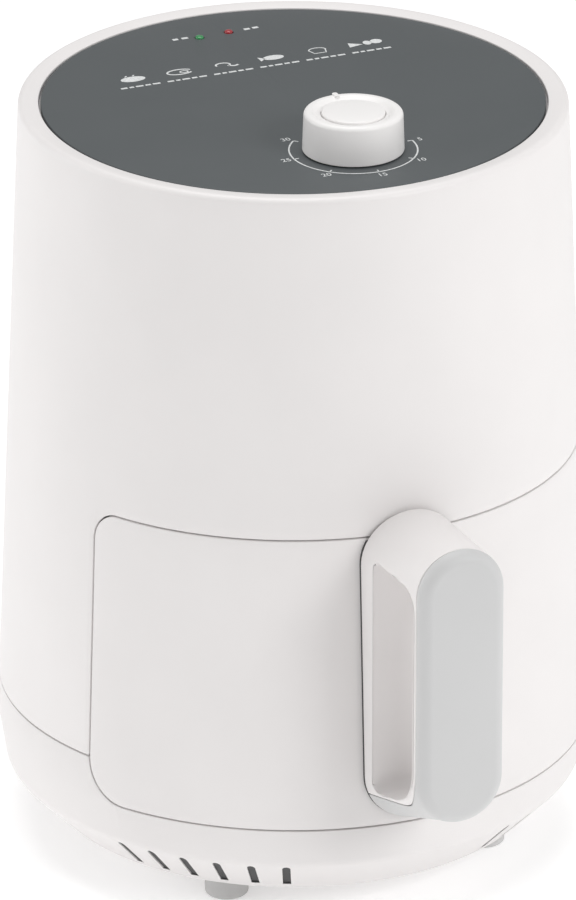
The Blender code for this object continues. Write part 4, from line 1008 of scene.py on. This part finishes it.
# %% Knob
KNOB_LOW, KNOB_TOP = low("timer_knob").z, PANEL_TOP + 14.6 * MM
CAP_RADIUS, CAP_SINK = 11.0 * MM, 2.2 * MM
KNOB_RADIUS, KNOB_TOP_RADIUS, DISH_RADIUS = 17.6 * MM, 17.1 * MM, 14.3 * MM
KNOB_WALL, roof = 2 * MM, KNOB_TOP - 4.2 * MM
hub = SPINDLE_RADIUS + GAP
well = CAP_RADIUS + GAP
knob = Piece("knob_moulding", turned(rounded([
    (0, KNOB_TOP - CAP_SINK), (well, KNOB_TOP - CAP_SINK), (well, KNOB_TOP - 1.15 * MM, 0.2 * MM),
    (12.6 * MM, KNOB_TOP - 1.2 * MM, 1.5 * MM), (DISH_RADIUS, KNOB_TOP, 0.8 * MM),
    (KNOB_TOP_RADIUS, KNOB_TOP, 1.7 * MM), (KNOB_RADIUS, KNOB_LOW, 0.3 * MM),
    (KNOB_RADIUS - KNOB_WALL, KNOB_LOW), (KNOB_TOP_RADIUS - KNOB_WALL, roof, 1 * MM),
    (hub + KNOB_WALL, roof), (hub + KNOB_WALL, KNOB_LOW),
    (hub, KNOB_LOW), (hub, roof), (0, roof),
], 6), 128))
pointer_top = high("timer_knob").z
knob.add(block((-0.9 * MM, 13.4 * MM, KNOB_TOP - 2 * MM), (0.9 * MM, 16.8 * MM, pointer_top), 0.7 * MM))
knob.finish(KNOB_WHITE, "dial", ["timer_knob"], centre=DRUM + KNOB)

# %% Knob cap
cap_low, cap_top = heights("knob_cap")
cap = Piece("knob_cap_disc", turned(rounded([
    (0, cap_low), (CAP_RADIUS, cap_low), (CAP_RADIUS, cap_top - 0.3 * MM, 0.6 * MM),
    (6 * MM, cap_top), (0, cap_top),
], 4), 128))
cap.finish(KNOB_WHITE, "dial", ["knob_cap"], centre=DRUM + KNOB)

# %% [markdown]
# ## The drawer front
#
# The front is a piece of the same drum, with round corners and a fine radius on its edge. It is
# built as rings, each a little inside the last, which lets the edge's radius run evenly round every
# corner. The last ring closes up to a line. The back is made the same way, one wall further in.

# %% Drawer front
def panel_ring(inset, depth):
    """The drawer's outline, set in from its edge and down from the drum's face."""
    trim = SEAM / 2 + inset
    half_width = DRAWER_HALF_WIDTH - trim
    bottom, top = DRAWER_LOW + trim, DRAWER_HIGH - trim
    low_corner = max(DRAWER_LOW_CORNER - trim, 0.0)
    top_corner = max(DRAWER_TOP_CORNER - trim, 0.0)
    corners = (
        (half_width - low_corner, bottom + low_corner, low_corner, -90),
        (half_width - top_corner, top - top_corner, top_corner, 0),
        (-half_width + top_corner, top - top_corner, top_corner, 90),
        (-half_width + low_corner, bottom + low_corner, low_corner, 180),
    )
    bends = [arc((x, z), radius, radius, start, start + 90, 12) for x, z, radius, start in corners]
    flat = []
    for bend, following, count in zip(bends, bends[1:] + bends[:1], (28, 96, 28, 96)):
        last, first = Vector(bend[-1]), Vector(following[0])
        flat += bend + [tuple(last.lerp(first, k / count)) for k in range(1, count)]
    return [around(drum_radius(z) - depth, x / BODY_RADIUS, z) for x, z in flat]


FRONT_WALL, FRONT_EDGE = 3 * MM, 0.35 * MM
middle = (DRAWER_HIGH - DRAWER_LOW - SEAM) / 2
bend = steps_between(0, math.pi / 2, 3)
edge = [(FRONT_EDGE * (1 - math.cos(turn)), FRONT_EDGE * (1 - math.sin(turn))) for turn in bend]
insets = steps_between(0, middle, 15)[1:]
rings = [panel_ring(inset, FRONT_WALL) for inset in reversed([0.0] + insets)]
rings += [panel_ring(inset, depth) for inset, depth in edge]
rings += [panel_ring(inset, 0.0) for inset in insets]
front = Piece("drawer_front_moulding", skin(rings, capped=False))
front.finish(WHITE, "drawer", ["drawer_front"])

# %% [markdown]
# ## The handle
#
# The handle is a tall loop with its outer edge softened all round. The opening for the fingers is
# deeper at its sides than in its middle, so the grip bulges into the palm. A light grey cover wraps
# the outside of the grip, turns the lower corner, runs back under the bottom arm, and leaves a thin
# white lip round the opening. The two mouldings are what is left of one solid loop on each side of
# the line between them.

# %% Handle sizes
HANDLE_REACH = DRUM.y - low("handle_cover").y
HANDLE_EDGE = 4.5 * MM
HANDLE_FACE = HANDLE_REACH - HANDLE_EDGE
HANDLE_HALF_WIDTH, HANDLE_FLARE = 16 * MM, 2.2 * MM
HANDLE_ROOT = HANDLE_HALF_WIDTH + HANDLE_FLARE
HANDLE_TOP_CENTRE, HANDLE_LOW_CENTRE = DRAWER_HIGH - 9.3 * MM, DRAWER_LOW + 20.4 * MM
TOP_RISE, LOW_RISE = 4 * MM, 12.6 * MM
HANDLE_GAP, BOSS_RADIUS = 1.4 * MM, 5 * MM
FLANGE, LIP, BULGE, ARM, ARM_SLOPE = 5 * MM, 1.8 * MM, 9.5 * MM, 13 * MM, 0.233
NEAR_CORNER, TOP_CORNER, LOW_CORNER = 3 * MM, 8 * MM, 17 * MM


def loop_outline(y, inset):
    """The handle's outline at a distance out from the drum's axis."""
    along = min(max((y - BODY_RADIUS) / (HANDLE_FACE - BODY_RADIUS), -1), 1)
    turn = min(max(y - HANDLE_FACE, 0) / HANDLE_EDGE, 1)
    radius = HANDLE_ROOT - HANDLE_FLARE * along - HANDLE_EDGE * (1 - math.sqrt(1 - turn ** 2)) - inset
    top, bottom = HANDLE_TOP_CENTRE + TOP_RISE * along, HANDLE_LOW_CENTRE + LOW_RISE * along
    ring = []
    for centre, start in ((top, 0), (bottom, math.pi)):
        for angle in steps_between(start, start + math.pi, 32):
            ring.append((radius * math.cos(angle), -y, centre + radius * math.sin(angle)))
    return ring


def loop(inset=0.0):
    """The whole handle, from inside the drawer front to its face, all its sides drawn in by an inset."""
    straight = steps_between(BODY_RADIUS - 4 * FRONT_WALL, HANDLE_FACE, 8)[:-1]
    curve = [HANDLE_FACE + HANDLE_EDGE * math.sin(turn) for turn in steps_between(0, math.pi / 2, 10)]
    return skin([loop_outline(y, inset) for y in straight + curve])


def arm_line(out):
    """The height of the bottom arm's upper face."""
    return HANDLE_LOW_CENTRE - HANDLE_ROOT + ARM + ARM_SLOPE * (out - BODY_RADIUS)


# %% The opening and the line between the two mouldings
def finger_opening():
    """The fingers' space, with the grip's bulge taken out of its far side."""
    near = BODY_RADIUS + FLANGE
    top = HANDLE_TOP_CENTRE + HANDLE_ROOT - ARM
    rings = []
    for share in steps_between(-1.2, 1.2, 48):
        far = HANDLE_FACE - LIP - BULGE * math.sqrt(max(1 - share ** 2, 0.0))
        outline = rounded([
            (-near, arm_line(near), NEAR_CORNER), (-near, top, NEAR_CORNER),
            (-far, top, TOP_CORNER), (-far, arm_line(far), LOW_CORNER),
        ], 8)
        rings.append([(share * HANDLE_HALF_WIDTH, y, z) for y, z in outline])
    return skin(rings)


def cover_side(margin):
    """All the space on the cover's side of the line between the mouldings, less a margin."""
    near, far = BODY_RADIUS - 20 * MM, BODY_RADIUS + 100 * MM
    face, drop = HANDLE_FACE - margin, LIP - margin
    bottom, top = DRAWER_LOW - 20 * MM, DRAWER_HIGH + 30 * MM
    outline = rounded([
        (-near, bottom), (-near, arm_line(near) - drop),
        (-face, arm_line(face) - drop, LOW_CORNER + LIP), (-face, top), (-far, top), (-far, bottom),
    ], 10)
    return prism(outline, "X", -2 * HANDLE_ROOT, 2 * HANDLE_ROOT)


def drum_grown(margin):
    """The drum with a gap round it, so that the handle stops just short of the drawer front."""
    return turned([
        (0, 0), (BODY_RADIUS + margin, 0), (BODY_RADIUS + margin, SEAM_HEIGHT),
        (drum_radius(RIM_TOP) + margin, RIM_TOP), (0, RIM_TOP),
    ], 288)


# %% Handle
def at_screws(radius, start, end):
    """Rods along both of the handle's screws, between two distances out from the drum's axis."""
    spots = [middle_of(f"handle_screw_{k}").z for k in (1, 2)]
    return together([aimed(rod(radius, start, end), (0, 0, height), (0, -1, 0)) for height in spots])


grip = Piece("handle_moulding", loop())
grip.cut(drum_grown(HANDLE_GAP)).cut(finger_opening()).cut(cover_side(GAP)).soften(0.35 * MM, 3)
grip.finish(WHITE, "drawer", ["handle_body"])
cover = Piece("handle_cover_moulding", loop())
cover.combine(cover_side(0.0), "INTERSECT").cut(drum_grown(HANDLE_GAP)).soften(0.3 * MM, 3)
cover.finish(LIGHT_GREY, "drawer", ["handle_cover"])
boss_ends = BODY_RADIUS - 4 * FRONT_WALL, BODY_RADIUS + FLANGE / 2
bosses = Piece("handle_bosses", at_screws(BOSS_RADIUS, *boss_ends))
bosses.cut(drum_grown(GAP)).finish(WHITE, "drawer")

# %% Black strip in the gap between the handle and the drawer front, painted shadow of the gap
GAP_SHADE_INSET, GAP_SHADE_CLEARANCE = 0.25 * MM, 0.05 * MM
# The black strip is painted shadow: it fills the gap round the handle, where there is only shade.
gap_shade_strip = Piece("handle_gap_shade", loop(GAP_SHADE_INSET))
gap_shade_strip.combine(drum_grown(HANDLE_GAP - GAP_SHADE_CLEARANCE), "INTERSECT").cut(drum_grown(GAP_SHADE_CLEARANCE))
gap_shade_strip.cut(block((-0.1, -0.2, DRAWER_HIGH - 1 * MM), (0.1, 0, RIM_TOP)))
gap_shade_strip.finish(BLACK, "drawer")

# %% [markdown]
# ## Inside the drawer
#
# The pan is deep-drawn steel with a broad round corner and a rolled rim. The crisper plate is a flat
# disc full of holes, on four silicone feet, and lifts out. Its holes are rings of a copied rod.

# %% Pan
PAN_LOW, PAN_TOP = heights("pan")
PAN_RIM_RADIUS = high("pan").x
PAN_RADIUS, PAN_WALL, PAN_CORNER = PAN_RIM_RADIUS - 2 * MM, 1.8 * MM, 9 * MM
PAN_INNER = PAN_RADIUS - PAN_WALL
pan = Piece("pan_drawn", turned(rounded([
    (0, PAN_LOW), (PAN_RADIUS, PAN_LOW, PAN_CORNER), (PAN_RADIUS, PAN_TOP - 2 * MM, 0.2 * MM),
    (PAN_RIM_RADIUS, PAN_TOP - 2 * MM, 0.7 * MM), (PAN_RIM_RADIUS, PAN_TOP, 0.8 * MM),
    (PAN_INNER, PAN_TOP, 0.8 * MM), (PAN_INNER, PAN_LOW + PAN_WALL, PAN_CORNER - PAN_WALL),
    (0, PAN_LOW + PAN_WALL),
], 8)))
pan.finish(COATED, "drawer", ["pan"])

# %% Crisper plate
(PLATE_LOW, PLATE_TOP), PLATE_RADIUS = heights("crisper_plate"), high("crisper_plate").x
HOLE_RADIUS, PLATE_GAUGE = 4.2 * MM, 76.2 * MM
HOLE_RINGS = ((24 * MM, 6), (43 * MM, 10), (61 * MM, 14))
holes = [rod(2 * HOLE_RADIUS, PLATE_LOW - WALL, PLATE_TOP + WALL, 48)]
for radius, count in HOLE_RINGS:
    hole = rod(HOLE_RADIUS, PLATE_LOW - WALL, PLATE_TOP + WALL, 24)
    holes.append(ring_of(moved(hole, around(radius * PLATE_RADIUS / PLATE_GAUGE, 0, 0)), count))
plate = Piece("crisper_plate_disc", rod(PLATE_RADIUS, PLATE_LOW, PLATE_TOP, 144))
plate.cut(together(holes)).soften(0.35 * MM, 3)
plate.finish(COATED, "plate", ["crisper_plate"])

# %% Plate feet
(PAD_LOW, PAD_TOP), PAD_RADIUS = heights("plate_foot_1"), 4 * MM
pad = turned(rounded([
    (0, PAD_LOW), (PAD_RADIUS, PAD_LOW, 1 * MM), (PAD_RADIUS, PAD_TOP, 0.3 * MM), (0, PAD_TOP),
]), 32)
pad = moved(pad, around(PLATE_RADIUS - PAN_CORNER, 0, 0))
pads = Piece("plate_feet", ring_of(pad, 4, first=FULL_TURN / 8, finish=SILICONE))
pads.finish(SILICONE, "plate", [f"plate_foot_{k}" for k in range(1, 5)])

# %% [markdown]
# The bracket behind the drawer front joins it to the pan. It is a thick curved web with a pocket open
# below, where the handle's screws come through.

# %% Pan bracket
(BRACKET_LOW, BRACKET_TOP), BRACKET_HALF = heights("pan_bracket"), math.radians(18)
face, pocket_half = FRONT_WALL + GAP, BRACKET_HALF - WALL / PAN_RADIUS
outer_turns = steps_between(-BRACKET_HALF, BRACKET_HALF, 24)
pocket_turns = steps_between(-pocket_half, pocket_half, 24)
bracket = web(PAN_RADIUS + GAP, face, BRACKET_LOW, BRACKET_TOP, outer_turns)
bracket = Piece("pan_bracket_moulding", bracket)
bracket.cut(web(PAN_RADIUS + WALL, face + WALL, BRACKET_LOW - WALL, BRACKET_TOP - WALL, pocket_turns))
bracket.cut(at_screws(SCREW_RADIUS + GAP, BODY_RADIUS - 6 * WALL, BODY_RADIUS + WALL))
bracket.soften(0.3 * MM).finish(BLACK, "drawer", ["pan_bracket"])

# %% [markdown]
# ## The cooking chamber
#
# With the drawer out, the chamber shows: a bright steel drum open at the front, two rails that the pan
# runs on, a moulded frame round the mouth, and above them the slotted guard with the heater over
# it. The guard's slots are three rings, finer towards the edge.

# %% Chamber liner
(LINER_LOW, LINER_TOP), LINER_OUTER = heights("chamber_liner"), high("chamber_liner").x
SHEET = 1 * MM
MOUTH_HALF_WIDTH = PAN_RIM_RADIUS + 1 * MM
liner = Piece("chamber_drum", turned([
    (0, LINER_LOW), (LINER_OUTER, LINER_LOW), (LINER_OUTER, LINER_TOP), (LINER_OUTER - SHEET, LINER_TOP),
    (LINER_OUTER - SHEET, LINER_LOW + SHEET), (0, LINER_LOW + SHEET),
], 144))
mouth_corner = (MOUTH_HALF_WIDTH, 0, DRAWER_HIGH - 1 * MM)
liner.cut(block((-MOUTH_HALF_WIDTH, -BODY_RADIUS, LINER_LOW + 2 * SHEET), mouth_corner))
liner.finish(STEEL, "housing", ["chamber_liner"])

# %% Rails
RAIL_CORNER = 1.5 * MM
for side in ("left", "right"):
    corner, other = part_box(f"pan_rail_{side}")
    rail = Piece(f"rail_{side}", block(corner - DRUM, other - DRUM, RAIL_CORNER))
    rail.soften(0.3 * MM).finish(STEEL, "housing", [f"pan_rail_{side}"])

# %% Mouth frame
MOUTH_HALF_ANGLE, MOUTH_FACE = math.radians(76), FRONT_WALL + 1 * MM
PLUNGER_HOLE, PLUNGER_REACH = 1.7 * MM, 25 * MM
mouth_turns = steps_between(-MOUTH_HALF_ANGLE, MOUTH_HALF_ANGLE, 96)
mouth = Piece("mouth_surround", web(LINER_OUTER + GAP, MOUTH_FACE, *heights("mouth_frame"), mouth_turns))
mouth.cut(block((-MOUTH_HALF_WIDTH, -BODY_RADIUS - 1 * MM, 0), mouth_corner))
plunger_hole = rod(PLUNGER_HOLE, -PLUNGER_REACH, PLUNGER_REACH, 24)
mouth.cut(aimed(plunger_hole, middle_of("switch_plunger"), (0, 1, 0)))
mouth.soften(0.3 * MM).finish(LIGHT_GREY, "housing", ["mouth_frame"])

# %% Element guard
(guard_low, guard_top), guard_radius = heights("element_guard"), high("element_guard").x
GUARD_BANDS, SLOT_SHARE = ((0.16, 0.42, 8), (0.50, 0.70, 12), (0.76, 0.93, 16)), 0.32
slots = []
for start, end, count in GUARD_BANDS:
    half = SLOT_SHARE * FULL_TURN / count
    outer = [tuple(around(end * guard_radius, turn, 0).xy) for turn in steps_between(-half, half, 6)]
    inner = [tuple(around(start * guard_radius, turn, 0).xy) for turn in steps_between(half, -half, 6)]
    slots.append(ring_of(prism(outer + inner, "Z", guard_low - WALL, guard_top + WALL), count))
guard = Piece("guard_plate", rod(guard_radius, guard_low, guard_top, 144))
guard.cut(together(slots)).soften(0.25 * MM)
guard.finish(STEEL, "housing", ["element_guard"])

# %% [markdown]
# ## The heater
#
# The heater is one bent tube: down a leg, a loop round the outside, a tight turn back, a loop inside
# it, and up the other leg. Each ring of its round section stands square to that line, which keeps
# the tube's thickness even through its bends.

# %% Heating element
TUBE = 3.2 * MM
LOOP_SET_IN, LOOP_PITCH, LOOP_SWEEP = 23.5 * MM, 14 * MM, math.radians(342)
OUTER_LOOP = LINER_OUTER - SHEET - LOOP_SET_IN
INNER_LOOP = OUTER_LOOP - LOOP_PITCH
LEG_TURNS = (math.radians(187), math.radians(195))
loop_height, leg_top = low("heating_element").z + TUBE, high("heating_element").z
bend = 2 * TUBE
far = LEG_TURNS[0] + LOOP_SWEEP


def leg(radius, turn):
    """A leg's bend from upright to level, from the top down."""
    points = [around(radius, turn, leg_top)]
    for angle in steps_between(0, math.pi / 2, 8):
        ahead = bend * (1 - math.cos(angle)) / radius
        points.append(around(radius, turn + ahead, loop_height + bend * (1 - math.sin(angle))))
    return points


middle_loop, half_pitch = (OUTER_LOOP + INNER_LOOP) / 2, (OUTER_LOOP - INNER_LOOP) / 2
line = leg(OUTER_LOOP, LEG_TURNS[0])
starts = steps_between(LEG_TURNS[0] + bend / OUTER_LOOP, far, 96)[1:]
line += [around(OUTER_LOOP, turn, loop_height) for turn in starts]
for angle in steps_between(0, math.pi, 12)[1:-1]:
    turn = far + half_pitch * math.sin(angle) / middle_loop
    line.append(around(middle_loop + half_pitch * math.cos(angle), turn, loop_height))
ends = steps_between(far, LEG_TURNS[1] + bend / INNER_LOOP, 80)[:-1]
line += [around(INNER_LOOP, turn, loop_height) for turn in ends]
line += list(reversed(leg(INNER_LOOP, LEG_TURNS[1])))


# %% The tube along its line
def tube_along(points, radius, steps=16):
    """A round section carried along a line, turned as little as it can be from ring to ring."""
    side, rings = Vector((1, 0, 0)), []
    for i, here in enumerate(points):
        ahead = (points[min(i + 1, len(points) - 1)] - points[max(i - 1, 0)]).normalized()
        side = (side - ahead * side.dot(ahead)).normalized()
        up = ahead.cross(side)
        turns = steps_between(0, FULL_TURN, steps)[:-1]
        rings.append([here + radius * (side * math.cos(turn) + up * math.sin(turn)) for turn in turns])
    return skin(rings)


element = Piece("heater_sheath", tube_along(line, TUBE))
element.finish(ELEMENT_STEEL, "housing", ["heating_element"])

# %% [markdown]
# ## The machinery
#
# The motor, fans, timer works and small parts are shut in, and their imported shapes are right. Each
# gets a copy with its loose triangles joined, its edges broken by a small bevel, and its own finish.
# The fans and the shaft ride together on the rotor.

# %% Copies with broken edges
def refined(node, material, body):
    bm = bmesh.new()
    bm.from_mesh(frame["nodes"][node].data)
    bmesh.ops.remove_doubles(bm, verts=bm.verts, dist=WELD)
    bmesh.ops.dissolve_limit(bm, angle_limit=math.radians(1), verts=bm.verts, edges=bm.edges)
    Piece(node + "_finished", bm).soften(0.25 * MM).finish(material, body, [node], centre=(0, 0, 0))


for material, body, nodes in (
    (BLACK, "housing", "chassis_plate lamp_holder timer_case switch_body"),
    (CERAMIC, "housing", "terminal_block element_bush_1 element_bush_2 thermostat thermal_fuse"),
    (STEEL, "housing", "heat_reflector motor_bracket motor_body"),
    (SCREW_STEEL, "housing", "motor_screw_1 motor_screw_2"),
    (BRASS, "housing", "timer_bell"),
    (SCREW_STEEL, "drawer", "handle_screw_1 handle_screw_2"),
    (SCREW_STEEL, "dial", "timer_spindle"),
    (STEEL, "rotor", "motor_shaft convection_fan"),
    (BLACK, "rotor", "cooling_fan"),
    (WHITE, "plunger", "switch_plunger"),
):
    for node in nodes.split():
        refined(node, material, body)

# %% [markdown]
# ## Light and floor
#
# The light is a photographer's white tent: an even surround, a wide panel over the top, one in
# front and to the right of the handle, a weak one on the right, and two that fill in the left side
# and its edge. The front one makes the soft shadow on the drawer beside the handle. The floor is
# plain and pale, gives off a little light of its own so that it stays white close to the feet, and
# is so large that its edge never shows.

# %% Floor
floor_finish = Finish("pale_floor", (0.93, 0.93, 0.93), 0.9)
floor_finish.set("Emission Color", (1.0, 1.0, 1.0, 1.0))
floor_finish.set("Emission Strength", 0.28)
floor_finish.tint(floor_finish.noise(0.4, 2), (0.925, 0.925, 0.925), (0.935, 0.935, 0.935))
floor = loose_object("floor", block((-6, -6, -20 * MM), (6, 6, -0.05 * MM)))
floor.data.materials.append(floor_finish.material)

# %% Lights
surround = bpy.data.worlds.new("surround")
surround.use_nodes = True
background = surround.node_tree.nodes["Background"].inputs
background["Color"].default_value = (1.0, 1.0, 1.0, 1.0)
background["Strength"].default_value = 0.33
bpy.context.scene.world = surround
bpy.context.scene.view_settings.view_transform = "Standard"


def soft_light(name, place, size, power):
    """A square panel of light that faces the middle of the drum."""
    light = bpy.data.lights.new(name, "AREA")
    light.shape = "SQUARE"
    light.size = size
    light.energy = power
    made = bpy.data.objects.new(name, light)
    made.location = place
    made.rotation_euler = (aim - Vector(place)).to_track_quat("-Z", "Y").to_euler()
    bpy.context.scene.collection.objects.link(made)
    print(f"{name}: {power} W, {size} m")


soft_light("top_panel_light", (0.0, 0.3, 2.2), 1.6, 24)
soft_light("front_panel_light", (0.8, -1.7, 1.25), 0.8, 14.5)
soft_light("right_panel_light", (1.9, -0.8, 0.7), 1.0, 4.5)
soft_light("left_panel_light", (-1.8, 1.2, 0.7), 1.0, 8)
soft_light("left_side_panel_light", (-2.0, 0.2, 0.8), 1.0, 6)
